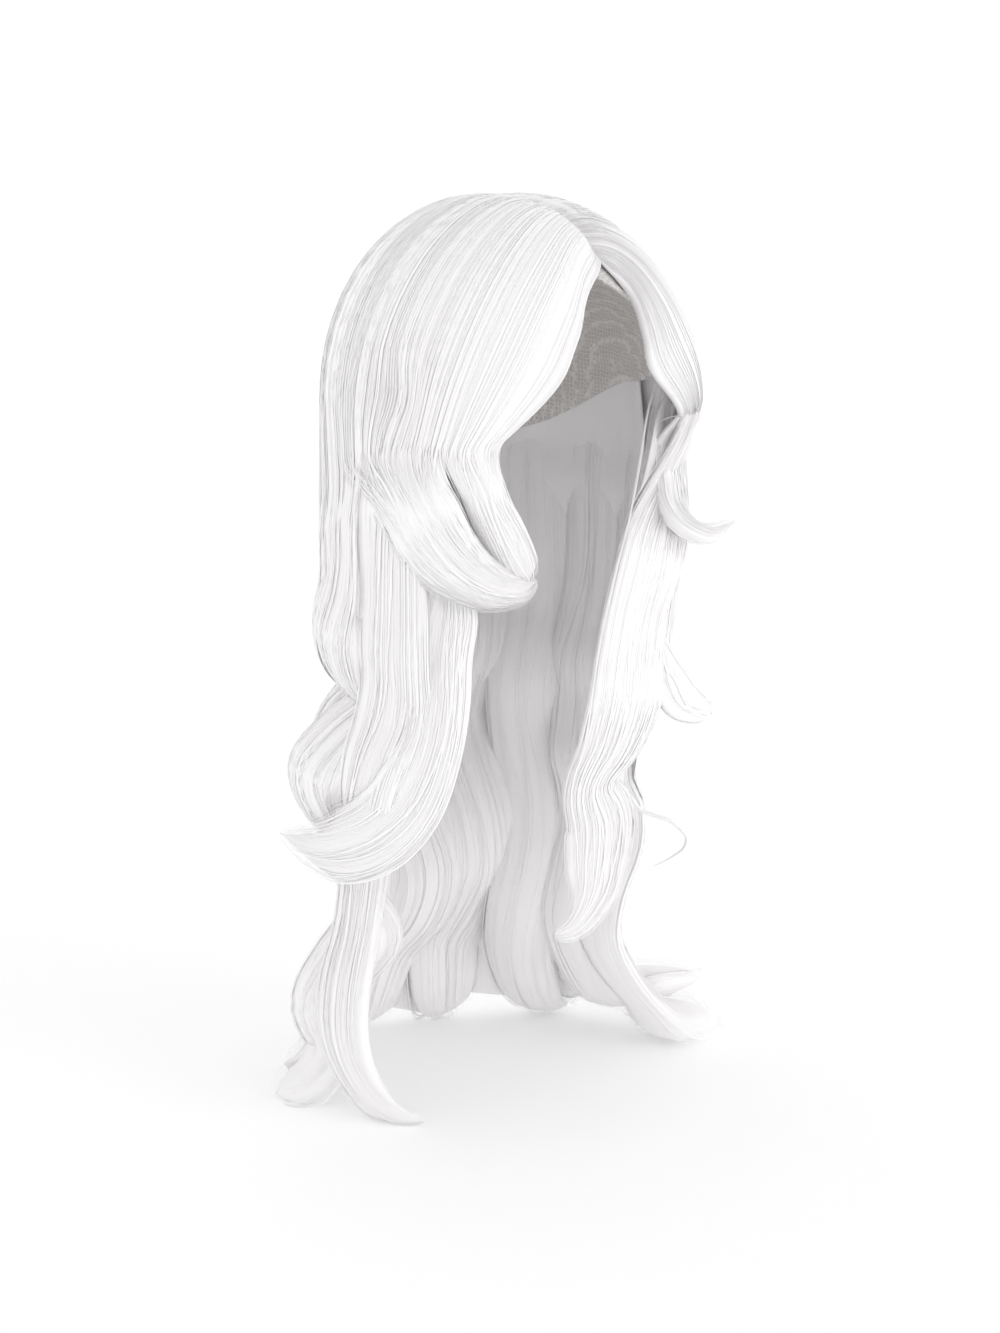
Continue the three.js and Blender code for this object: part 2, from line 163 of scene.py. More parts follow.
def on_head(around, dip, lift):
    """Points over the head. Around is degrees from the front to the wearer's right, dip is
    degrees from the top to 90 at the widest level and straight down from there."""
    turn = np.radians(around)
    bend = np.radians(np.minimum(dip, 90))
    aim = np.stack(np.broadcast_arrays(
        -np.sin(turn) * np.sin(bend), -np.cos(turn) * np.sin(bend), np.cos(bend)), -1)
    size = 1 / np.sqrt(((aim / (head_half_wide, head_half_deep, head_rise)) ** 2).sum(-1))
    points = aim * (size + lift)[..., None]
    points[..., 2] -= head_rise * (1 + np.radians(np.maximum(dip - 90, 0)))
    return points


def to_head(points):
    """The degrees around and of dip of points near the head."""
    rise = points[..., 2] + head_rise
    over = np.degrees(np.arctan2(far_of(points), rise))
    return around_of(points), np.where(rise < 0, 90 - np.degrees(rise / head_rise), over)


def read(table, at, column):
    """A smooth reading of a table at values of its first column."""
    last = len(table) - 1
    at = np.asarray(at, float)
    row = np.clip(np.searchsorted(table[:, 0], at, side="left") - 1, 0, last - 1)
    slopes = np.array([
        (table[min(i + 1, last), column] - table[max(i - 1, 0), column])
        / (table[min(i + 1, last), 0] - table[max(i - 1, 0), 0]) for i in range(last + 1)])
    span = table[row + 1, 0] - table[row, 0]
    share = np.clip((at - table[row, 0]) / span, 0, 1)
    turned = share * share * (3 - 2 * share)
    leave = share * (1 - share) ** 2 * slopes[row] * span
    arrive = share * share * (share - 1) * slopes[row + 1] * span
    return table[row, column] * (1 - turned) + table[row + 1, column] * turned + leave + arrive


def made_mesh(name, points, faces, look, place=None, replaced=None, smooth=True):
    """A closed mesh from points in millimetres and arrays of faces, turned to face
    outwards. Place is where its material reads the fibre's texture."""
    triangles = np.concatenate([f[:, [0, i, i + 1]] for f in faces for i in
                                range(1, f.shape[1] - 1)])
    a, b, c = (points[triangles[:, i]] for i in range(3))
    if np.einsum("ij,ij->i", a, np.cross(b, c)).sum() < 0:
        faces = [f[:, ::-1] for f in faces]
    corners = np.concatenate([f.ravel() for f in faces]).astype(np.int32)
    counts = np.concatenate([np.full(len(f), f.shape[1]) for f in faces])
    mesh = bpy.data.meshes.new(name)
    mesh.vertices.add(len(points))
    mesh.vertices.foreach_set("co", (points * MM).astype(np.float32).ravel())
    mesh.loops.add(len(corners))
    mesh.loops.foreach_set("vertex_index", corners)
    mesh.polygons.add(len(counts))
    starts = np.concatenate([[0], np.cumsum(counts)[:-1]]).astype(np.int32)
    mesh.polygons.foreach_set("loop_start", starts)
    mesh.polygons.foreach_set("use_smooth", np.full(len(counts), smooth))
    mesh.update(calc_edges=True)
    if place is not None:
        layer = mesh.attributes.new("comb", "FLOAT_VECTOR", "POINT")
        layer.data.foreach_set("vector", place.astype(np.float32).ravel())
    mesh.materials.append(look)
    piece = bpy.data.objects.new(name, mesh)
    bpy.context.scene.collection.objects.link(piece)
    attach(piece, "root")
    if replaced:
        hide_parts(replaced)


def grid_faces(rows, columns, closed=False):
    """Four-sided faces over a grid of points, joined round its columns if it is closed."""
    row, column = np.meshgrid(np.arange(rows - 1), np.arange(columns - (not closed)),
                              indexing="ij")
    right = (column + 1) % columns
    corners = (row * columns + column, row * columns + right,
               (row + 1) * columns + right, (row + 1) * columns + column)
    return np.stack([c.ravel() for c in corners], -1)


def fan(tip, ring):
    """Triangles between one point and a ring of points."""
    return np.stack([np.full(len(ring), tip), np.roll(ring, -1), ring], -1)


# The net: small open cells between knitted threads. The cells are painted darker than the
# threads: painted shade for what is seen through them.
net_white = (0.88, 0.865, 0.85)
net_cell_shade = (0.66, 0.63, 0.61)
net_cell = 420.0

net_look, net_tree, net_shader = new_material(
    "stretch_net", {"Roughness": 0.85, "Sheen Weight": 0.2})
net_place = add_node(net_tree, "TexCoord")
net_cells = add_node(net_tree, "TexVoronoi", {"Scale": net_cell, "Randomness": 0.35},
                     feature="DISTANCE_TO_EDGE")
net_thread = add_node(net_tree, "MapRange", {"From Max": 0.22})
net_bump = add_node(net_tree, "Bump", {"Strength": 0.6, "Distance": 0.0006}, invert=True)
mix_of(net_tree, net_thread.outputs["Result"], net_white, net_cell_shade,
       net_shader.inputs["Base Color"])
for source, target in (
        (net_place.outputs["Object"], net_cells.inputs["Vector"]),
        (net_cells.outputs["Distance"], net_thread.inputs["Value"]),
        (net_thread.outputs["Result"], net_bump.inputs["Height"]),
        (net_bump.outputs["Normal"], net_shader.inputs["Normal"])):
    net_tree.links.new(source, target)

cap_rows, cap_columns = 44, 84
cap_top = 0.012
weft_rows = 11
weft_stand = 0.7
weft_wide = 0.16
band_stand = 0.8
band_wide = 0.035
cap_around = 360 * np.arange(cap_columns) / cap_columns - 180
cap_share = np.linspace(cap_top, 1, cap_rows)[:, None]
cap_dip = read(cap_hem, np.abs(cap_around), 1)[None, :] * cap_share
cap_seam = weft_stand * np.exp(-(((cap_share * weft_rows) % 1 - 0.5) / weft_wide) ** 2)
cap_band = band_stand * np.exp(-(((1 - cap_share) / band_wide) ** 2))
cap_inner = on_head(cap_around, cap_dip, -np.minimum(cap_seam, cap_share * 4) + 0 * cap_dip)
cap_outer = on_head(cap_around, cap_dip, cap_wall + cap_band + 0 * cap_dip)
cap_size = cap_rows * cap_columns
cap_tops = np.array([[0, 0, cap_wall], [0, 0, 0.0]])
cap_faces = grid_faces(cap_rows, cap_columns, closed=True)
ring = np.arange(cap_columns)
hem_ring = ring + cap_size - cap_columns
hem_next = np.roll(hem_ring, -1)
hem_walls = np.stack([hem_ring, hem_ring + cap_size, hem_next + cap_size, hem_next], -1)
made_mesh("cap_net",
          np.concatenate([cap_outer.reshape(-1, 3), cap_inner.reshape(-1, 3), cap_tops]),
          [cap_faces, cap_faces[:, ::-1] + cap_size, hem_walls[:, ::-1],
           fan(2 * cap_size, ring)[:, ::-1], fan(2 * cap_size + 1, ring + cap_size)],
          net_look, replaced="wig_cap")

# The combed hair
# White synthetic fibre, sewn to the cap along its wefts and combed down both sides of a
# parting that runs back to the whorl. It lies thick and smooth over the cap.

crown_deep = 18.0
gap = 0.3
facet_sag = 1.5
edge_deep = 2.5
seam_root = (-34.0, 17.0)
whorl = (180.0, 19.0)
crown_hem = np.array([(0, 62, 99), (1, 76, 103), (2, 92, 109), (3, 108, 117), (4, 126, 124),
                      (5, 144, 129), (6, 162, 132), (7, 179.7, 134)], float)
root_crowding = 1.5
comb_deep = np.array([(0, 0, 0.45), (0.12, 0, 0.9), (0.3, 0, 1.12), (0.6, 0, 1.15),
                      (0.8, 0.42, 1.15), (1, 0.94, 1.15)])
back_flat = 0.1
dent_around, dent_dip, dent_wide, dent_deep = 78.5, 78.0, 11.0, 0.45

# The fibre shows as fine lines along the comb direction, gathered in broader streaks. The
# "comb" value of a point is its place across the hair and, shortened, along it.
fibre_group = bpy.data.node_groups.new("combed_fibre", "ShaderNodeTree")
for socket, way, kind in (
        ("Comb", "INPUT", "Vector"), ("Fibre Scale", "INPUT", "Float"),
        ("Streak Scale", "INPUT", "Float"), ("Tone", "OUTPUT", "Float"),
        ("Relief", "OUTPUT", "Float")):
    fibre_group.interface.new_socket(socket, in_out=way, socket_type="NodeSocket" + kind)
group_in = fibre_group.nodes.new("NodeGroupInput")
group_out = fibre_group.nodes.new("NodeGroupOutput")
fine_lines = add_node(fibre_group, "TexNoise", {"Detail": 3.0, "Roughness": 0.65})
broad_streaks = add_node(fibre_group, "TexNoise", {"Detail": 2.0})
fibre_tone = add_node(fibre_group, "Mix", {"Factor": 0.55})
tone_spread = add_node(fibre_group, "MapRange", {"From Min": 0.3, "From Max": 0.7})
for source, target in (
        (group_in.outputs["Comb"], fine_lines.inputs["Vector"]),
        (group_in.outputs["Fibre Scale"], fine_lines.inputs["Scale"]),
        (group_in.outputs["Comb"], broad_streaks.inputs["Vector"]),
        (group_in.outputs["Streak Scale"], broad_streaks.inputs["Scale"]),
        (fine_lines.outputs["Fac"], fibre_tone.inputs["A"]),
        (broad_streaks.outputs["Fac"], fibre_tone.inputs["B"]),
        (fibre_tone.outputs["Result"], tone_spread.inputs["Value"]),
        (tone_spread.outputs["Result"], group_out.inputs["Tone"]),
        (fine_lines.outputs["Fac"], group_out.inputs["Relief"])):
    fibre_group.links.new(source, target)


def fibre_look(name, light, shade, fibre_scale, streak_scale, relief, roughness):
    """White fibre: its colour and its relief follow the comb direction."""
    look, tree, shader = new_material(name, {
        "Roughness": roughness, "Specular IOR Level": 0.35, "Sheen Weight": 0.15,
        "Sheen Roughness": 0.4})
    comb_place = add_node(tree, "Attribute", attribute_name="comb")
    fibre = add_node(tree, "Group", node_tree=fibre_group)
    fibre.inputs["Fibre Scale"].default_value = fibre_scale
    fibre.inputs["Streak Scale"].default_value = streak_scale
    bump = add_node(tree, "Bump", {"Strength": relief, "Distance": 0.0008})
    tree.links.new(comb_place.outputs["Vector"], fibre.inputs["Comb"])
    mix_of(tree, fibre.outputs["Tone"], shade, light, shader.inputs["Base Color"])
    tree.links.new(fibre.outputs["Relief"], bump.inputs["Height"])
    tree.links.new(bump.outputs["Normal"], shader.inputs["Normal"])
    return look


# The bed under the strands is a touch darker than the strands: painted shade that stands in for
# the shadow the strands cast on it
shaded_bed_white = fibre_look("white_hair_bed_shaded", (0.955, 0.945, 0.949), (0.92, 0.908, 0.913), 800.0,
                       110.0, 0.3, 0.5)
strand_white = fibre_look("white_hair_strand", (0.965, 0.956, 0.96), (0.94, 0.93, 0.934),
                          900.0, 300.0, 0.15, 0.42)
along_shortened = 30


def fibre_place(across, ground, along):
    """Where the fibre's texture is read: millimetres across the hair, a number that tells
    one piece from another, and millimetres along the hair."""
    place = np.stack(np.broadcast_arrays(across, ground, along / along_shortened), -1)
    return place.reshape(-1, 3) * MM


def hair_sheet(name, outer, inner, place, replaced=None):
    """A closed sheet of hair between two grids of points."""
    outer, inner = np.asarray(outer), np.asarray(inner)
    rows, columns = outer.shape[:2]
    size = rows * columns
    rim = np.concatenate([
        np.arange(columns), np.arange(1, rows) * columns + columns - 1,
        (rows - 1) * columns + np.arange(columns - 2, -1, -1),
        np.arange(rows - 2, 0, -1) * columns])
    after = np.roll(rim, -1)
    walls = np.stack([rim, rim + size, after + size, after], -1)
    faces = grid_faces(rows, columns)
    points = np.concatenate([outer.reshape(-1, 3), inner.reshape(-1, 3)])
    made_mesh(name, points, [faces, faces[:, ::-1] + size, walls], shaded_bed_white,
              np.concatenate([place, place]), replaced)
    return points, faces


def comb(start, end, share):
    """A combed path over the head between two places, each degrees around and of dip."""
    first = on_head(start[0], start[1], 0 * start[0])
    second = on_head(end[0], end[1], 0 * end[0])
    share = np.asarray(share, float)[..., None]
    return to_head(first * (1 - share) + second * share)


def comb_lift(share, column, trim):
    """The inner or outer lift of the combed hair at a share of its path."""
    clear = cap_wall + facet_sag + gap
    outer = np.maximum(crown_deep * read(comb_deep, share, 2) * trim, clear + edge_deep)
    if column == 2:
        return outer
    return clear + (outer - edge_deep - clear) * read(comb_deep, share, 1)


def beside_seam(around, dip, side):
    """A root place, moved off the parting line to its own side."""
    points = on_head(np.asarray(around, float), np.asarray(dip, float),
                     np.zeros(np.shape(around)))
    points[..., 0] -= side * gap
    return to_head(points)


def crown_at(side, back, share):
    """Degrees around, of dip, and the depth trim of the combed hair of one side."""
    back, share = np.broadcast_arrays(np.asarray(back, float), np.asarray(share, float))
    root_share = 1 - (1 - back) ** root_crowding
    root = comb(tuple(np.full(back.shape, v) for v in seam_root),
                tuple(np.full(back.shape, v) for v in whorl), root_share)
    root = beside_seam(*root, side)
    index = back * (len(crown_hem) - 1)
    hem = (side * read(crown_hem, index, 1), read(crown_hem, index, 2))
    around, dip = comb(root, hem, share)
    far = np.hypot(around - dent_around, dip - dent_dip) / dent_wide
    hollow = 1 - dent_deep * np.exp(-far * far)
    return around, dip, hollow * (1 - back_flat * back * np.sin(share * np.pi))


def fine_ridges(across, along, seed, waves=26, finest=5.0, widest=26.0):
    """Low ridges, about one high, that run along the hair and drift slowly across it."""
    draw = np.random.default_rng(seed)
    total = np.zeros(np.broadcast(across, along).shape)
    for _ in range(waves):
        width = finest * (widest / finest) ** draw.random()
        drift = draw.uniform(0.5, 3.0) * np.sin(along / draw.uniform(25, 70) + draw.random() * 6)
        total += (width / widest) ** 1.3 * np.sin(
            2 * np.pi * (across + drift) / width + draw.random() * 6)
    return total / np.sqrt(waves)


crown_ridge = 0.24
bed_sunk = 0.5
hem_lean, lean_from = 4.5, 0.82
combed_points, combed_faces = [], []


def combed_bed(node, way, side, rows, columns, wide, long, seed, ground):
    """The combed hair or the bang of one side, with fine ridges and a hem that leans in."""
    back = np.linspace(0, 1, rows)[:, None]
    share = np.linspace(0, 1, columns)[None, :]
    around, dip, trim = way(side, back, share)
    ridges = fine_ridges(back * wide, share * long, seed + side)
    lift = comb_lift(share + 0 * back, 2, trim) + crown_ridge * ridges - bed_sunk
    lift = lift - hem_lean * np.clip((share - lean_from) / (1 - lean_from), 0, 1) ** 2
    inner = np.minimum(comb_lift(share + 0 * back, 1, trim), lift - 1)
    points, faces = hair_sheet(
        node + "_bed", on_head(around, dip, lift), on_head(around, dip, inner),
        fibre_place(back * wide, ground * side, share * long), node)
    combed_faces.append(faces + sum(len(p) for p in combed_points))
    combed_points.append(points)


for side, node in ((1, "crown_right"), (-1, "crown_left")):
    combed_bed(node, crown_at, side, 110, 50, 150.0, 210.0, 11, 300)

# The bangs
# Long hair from the front of the parting, swept back past each temple like a curtain. Its
# front edge is rolled thin and keeps clear of the brow.

bang_edges = {
    1: np.array([(0, -19, 34), (1, 4, 45), (2, 15, 60), (3, 22, 71), (4, 35, 84),
                 (5, 49, 97)], float),
    -1: np.array([(0, -19, 34), (1, -20, 47), (2, -15, 60), (3, -13, 72), (4, -29, 86),
                  (5, -48, 97)], float)}
bang_reach = 1.006
rolled_edge = 0.42
rolled_part = 2 / 3


def bang_at(side, across, share):
    """Degrees around, of dip, and the depth trim of one bang. Across runs from its front
    edge to the hair behind it."""
    across, share = np.broadcast_arrays(np.asarray(across, float) * bang_reach,
                                        np.asarray(share, float))
    edge = bang_edges[side]
    index = share * (len(edge) - 1)
    front = beside_seam(read(edge, index, 1), read(edge, index, 2), side)
    seam = beside_seam(np.full(share.shape, seam_root[0]), np.full(share.shape, seam_root[1]),
                       side)
    seam_end = (np.full(share.shape, side * crown_hem[0, 1]),
                np.full(share.shape, crown_hem[0, 2]))
    around, dip = comb(front, comb(seam, seam_end, share), across)
    roll = np.sin(np.minimum(across / rolled_part, 1) * (np.pi / 2))
    return around, dip, rolled_edge + (1 - rolled_edge) * roll


for side, node in ((1, "bang_right"), (-1, "bang_left")):
    combed_bed(node, bang_at, side, 44, 50, 45.0, 190.0, 31, 600)

# The locks
# Heat-set waves: each lock is a bundle of fibre that swings in and out as it falls, and
# thins to a pointed end. Some of them frame the face and throat, the rest hang all round.

fall = 505.0
stand_out = 32.0
reach = head_half_wide + stand_out
lock_wide = 44.0
lock_deep = 18.0
least_half = 1.0

# Locks with a course of their own: the degrees around that the broad side faces, then rows
# of degrees around and shares of the fall, the reach, the full width and the full depth
shaped_locks = {
    "sweep_lock_right": (74, [
        (90, 0.195, 0.8, 0.6, 0.3), (79, 0.232, 0.895, 1, 0.65), (67, 0.283, 0.945, 1.25, 1),
        (58, 0.321, 0.95, 1.08, 1), (49, 0.345, 0.92, 0.78, 1), (41, 0.358, 0.87, 0.58, 0.9),
        (34, 0.361, 0.82, 0.42, 0.7), (29, 0.356, 0.79, 0.16, 0.3)]),
    "face_lock_right": (50, [
        (53, 0.19, 0.83, 0.6, 0.3), (49, 0.23, 0.87, 0.6, 0.65), (45, 0.269, 0.87, 0.62, 0.85),
        (40, 0.303, 0.86, 0.64, 0.9), (36, 0.331, 0.85, 0.56, 0.8),
        (34, 0.346, 0.83, 0.38, 0.6), (33, 0.355, 0.81, 0.12, 0.2)]),
    "wing_lock_right": (60, [
        (60, 0.35, 0.8, 0.5, 0.4), (60, 0.39, 0.83, 0.85, 0.5), (61, 0.437, 0.86, 0.85, 0.6),
        (61, 0.491, 0.88, 0.82, 0.65), (63, 0.542, 0.92, 0.85, 0.7),
        (69, 0.6, 0.97, 0.95, 0.7), (78, 0.638, 1.03, 1.05, 0.7),
        (91, 0.664, 1.08, 0.98, 0.65), (104, 0.676, 1.13, 0.62, 0.5),
        (122, 0.687, 1.18, 0.12, 0.25)]),
    "face_lock_left": (-30, [
        (-60, 0.19, 0.82, 0.6, 0.3), (-52, 0.235, 0.8, 0.75, 0.6),
        (-40, 0.28, 0.82, 0.8, 0.8), (-32, 0.31, 0.88, 0.8, 0.85),
        (-31, 0.325, 0.97, 0.7, 0.75), (-35, 0.33, 1.05, 0.5, 0.55),
        (-42, 0.323, 1.14, 0.12, 0.2)]),
    "shoulder_lock_left": (8, [
        (-46, 0.21, 0.76, 0.5, 0.4), (-35, 0.27, 0.77, 0.75, 0.6),
        (-27, 0.327, 0.79, 1.05, 0.9), (-22, 0.363, 0.79, 1.15, 1),
        (-16, 0.409, 0.77, 1.08, 1), (-14, 0.46, 0.75, 1.16, 1), (-13, 0.51, 0.74, 1.3, 1),
        (-10, 0.556, 0.69, 1.18, 1), (-4, 0.606, 0.6, 0.85, 0.95),
        (-11, 0.65, 0.6, 1.1, 0.95), (-10, 0.692, 0.6, 1.05, 0.92),
        (-7, 0.729, 0.6, 0.86, 0.8), (0, 0.753, 0.61, 0.6, 0.62),
        (9, 0.768, 0.63, 0.36, 0.42), (18, 0.771, 0.65, 0.12, 0.2)]),
    "flick_lock_left": (0, [
        (-28, 0.45, 0.8, 0.3, 0.4), (-33, 0.485, 0.83, 0.5, 0.55),
        (-37, 0.517, 0.89, 0.66, 0.6), (-44, 0.54, 0.98, 0.45, 0.45),
        (-49, 0.552, 1.03, 0.12, 0.2)]),
    "side_lock_right_1": (85, [
        (80, 0.2, 0.845, 0.9, 0.16), (81, 0.3, 0.845, 1.15, 0.7), (79, 0.39, 0.87, 1.25, 0.95),
        (78, 0.444, 0.89, 1.28, 1), (80, 0.487, 0.85, 1.28, 1), (82, 0.53, 0.87, 1.25, 1),
        (82, 0.568, 0.97, 1.15, 1), (84, 0.606, 0.99, 1.02, 1), (90, 0.644, 0.91, 1, 1),
        (97, 0.681, 0.85, 0.95, 1), (105, 0.733, 0.81, 0.86, 1), (106, 0.788, 0.84, 0.85, 1),
        (102, 0.842, 0.93, 0.94, 1), (101, 0.895, 0.95, 0.95, 1), (98, 0.94, 0.91, 0.82, 0.9),
        (91, 0.975, 0.84, 0.68, 0.7), (83, 1, 0.76, 0.52, 0.5), (79, 1, 0.71, 0.34, 0.4),
        (77, 1, 0.69, 0.14, 0.2)])}

# How far out the hanging hair stands down its fall, at the right, the back and the left
waves = np.array([
    (0.2, 0.97, 0.99, 0.9), (0.3, 0.97, 1, 0.9), (0.39, 0.965, 0.98, 0.9),
    (0.444, 1.01, 1.05, 0.87), (0.487, 0.95, 0.98, 0.84), (0.53, 0.8, 0.89, 0.8),
    (0.568, 0.98, 0.95, 0.84), (0.606, 1.12, 1.1, 0.76), (0.644, 1.08, 1.12, 0.72),
    (0.681, 0.95, 1.02, 0.8), (0.733, 0.9, 0.9, 0.82), (0.788, 0.78, 0.88, 0.74),
    (0.842, 0.95, 1, 0.72), (0.895, 1.07, 1.16, 0.84), (0.94, 1, 1.12, 1)])
locks_from = waves[0, 0]
waves_from = 0.45


def root_row(around, dip, lift, wide, deep):
    """A lock's first row, tucked up inside the combed hair."""
    root = on_head(around, dip, lift)
    return around, -root[2] / fall, far_of(root) / reach, wide, deep


for lock_name, root in (("sweep_lock_right", (94, 82, 4, 0.5, 0.12)),
                        ("face_lock_right", (54, 80, 8, 0.4, 0.12)),
                        ("wing_lock_right", (66, 88, 8, 0.5, 0.15)),
                        ("face_lock_left", (-61, 82, 8, 0.4, 0.12)),
                        ("shoulder_lock_left", (-58, 84, 7, 0.4, 0.12)),
                        ("side_lock_right_1", (80, 76, 7, 0.8, 0.12))):
    shaped_locks[lock_name][1].insert(0, root_row(*root))

# The hanging locks: degrees around and gained, sway and its phase, how late the waves run,
# width, the shares read from the right, back and left, where the end lies, and how much
# fuller than the others it is
hanging_locks = {
    "side_lock_right_2": (107, 13, 4, 30, 0, 1.2, (1, 0, 0), (121, 1.22)),
    "side_lock_right_3": (133, 5, 5, 60, 0.012, 1.25, (0.9, 0.1, 0), (140, 1.16)),
    "back_lock_1": (157, 2, 6, 80, -0.02, 1.2, (0.4, 0.6, 0), (166, 1.2)),
    "back_lock_2": (181, 0, 6, 110, 0.02, 1.2, (0, 1, 0), (178, 1.3)),
    "back_lock_3": (205, -2, 6, 140, -0.015, 1.2, (0, 0.9, 0.1), (202, 1.18)),
    "back_lock_4": (229, -3, 5, 180, 0.02, 1.2, (0, 0.5, 0.5), (232, 1.24)),
    "side_lock_left_2": (253, -2, 4, 220, 0.012, 1.15, (0, 0.12, 0.88), (264, 1.41, 0.942), 1.8),
    "side_lock_left_1": (276, -12, 3, 260, 0, 1, (0, 0, 1), (268, 1.38), 1.75)}
taper = np.array([(0.2, 0.7, 0.16), (0.26, 0.9, 0.5), (0.33, 1, 0.9), (0.5, 1, 1),
                  (0.7, 1, 1), (0.85, 0.95, 1), (0.94, 0.85, 0.95)])
wave_turns = 2.6
tail = ((0.35, 0.975, 0.76, 0.85), (0.75, 1, 0.66, 0.75), (0.95, 1, 0.42, 0.6),
        (1, 1, 0.16, 0.35))
hem_inside = crown_deep * comb_deep[-1, 2] - edge_deep - facet_sag - gap


def smooth_step(value, low, high):
    """A smooth change from 0 to 1 between two values."""
    share = np.clip((value - low) / (high - low), 0, 1)
    return share * share * (3 - 2 * share)


def hanging_rows(around, gain, sway, phase, late, wide, shares, end, puff=1):
    """A hanging lock's rows, with the columns of the shaped locks."""
    rows = [root_row(around, 76, 7, wide * 0.6, 0.12)]
    for down in waves[:, 0]:
        share = (down - locks_from) / (1 - locks_from)
        swing = math.sin(math.radians(360 * wave_turns * share + phase))
        turn = around + gain * share + sway * swing * share
        deep = read(taper, down, 2)
        waved = sum(p * read(waves, down - late, i + 1) for i, p in enumerate(shares))
        loose = smooth_step(down, locks_from, waves_from)
        face = far_of(on_head(turn, 90, hem_inside)) / reach * (1 - loose) + waved * loose
        rows.append((turn, down, face - deep * lock_deep / 2 / reach,
                     wide * read(taper, down, 1), deep))
    last_turn, _, last_out = rows[-1][:3]
    for share, down, width, deep in tail:
        low = min(down, end[2]) if len(end) > 2 else down
        rows.append((last_turn + (end[0] - last_turn) * share, low,
                     last_out + (end[1] - last_out) * share, wide * width * puff, deep * puff))
    return rows


def smooth_curve(points, at, even):
    """Points of a smooth curve through others, at values from 0 to 1. An even curve gives
    each span the same weight, and the other one follows the spans' lengths."""
    points = np.asarray(points, float)
    last = len(points) - 1
    padded = np.concatenate([[2 * points[0] - points[1]], points,
                             [2 * points[-1] - points[-2]]])
    place = np.clip(np.asarray(at) * last, 0, last)
    span = np.minimum(place.astype(int), last - 1)
    share = (place - span)[:, None]
    p0, p1, p2, p3 = (padded[span + i] for i in range(4))
    if even:
        leave, arrive = (p2 - p0) / 2, (p3 - p1) / 2
    else:
        d0, d1, d2 = (np.sqrt(np.linalg.norm(b - a, axis=-1, keepdims=True)) + 1e-9
                      for a, b in ((p0, p1), (p1, p2), (p2, p3)))
        leave = ((p1 - p0) / d0 - (p2 - p0) / (d0 + d1) + (p2 - p1) / d1) * d1
        arrive = ((p2 - p1) / d1 - (p3 - p1) / (d1 + d2) + (p3 - p2) / d2) * d1
    bend = 2 * (p1 - p2) + leave + arrive
    sag = 3 * (p2 - p1) - 2 * leave - arrive
    return p1 + leave * share + sag * share ** 2 + bend * share ** 3


def curtain_face(around, height):
    """How far out the hanging hair's face is, at degrees around and a height."""
    around = np.mod(around, 360)
    knots = []
    for name in curtain:
        lock = locks[name]
        down = np.maximum.accumulate(-lock.middle[:, 2])
        turn = np.mod(around_of(lock.middle), 360)
        face = far_of(lock.middle) + lock.half_deep
        knots.append((np.interp(-height, down, turn), np.interp(-height, down, face)))
    out = knots[0][1]
    for (turn, face), (turn_after, face_after) in zip(knots, knots[1:]):
        share = smooth_step(around, turn, np.maximum(turn_after, turn + 1))
        out = np.where(around > turn, face * (1 - share) + face_after * share, out)
    return out


def moved_out(points, to, hold):
    """The points, moved by some share to a distance from the upright line."""
    moved = points.copy()
    moved[..., :2] *= (1 + hold * (to / far_of(points) - 1))[..., None]
    return moved


def stand_at(around, far, height):
    """Points at degrees around, a distance from the upright line, and a height."""
    turn = np.radians(around)
    return np.stack([-np.sin(turn) * far, -np.cos(turn) * far, height], -1)


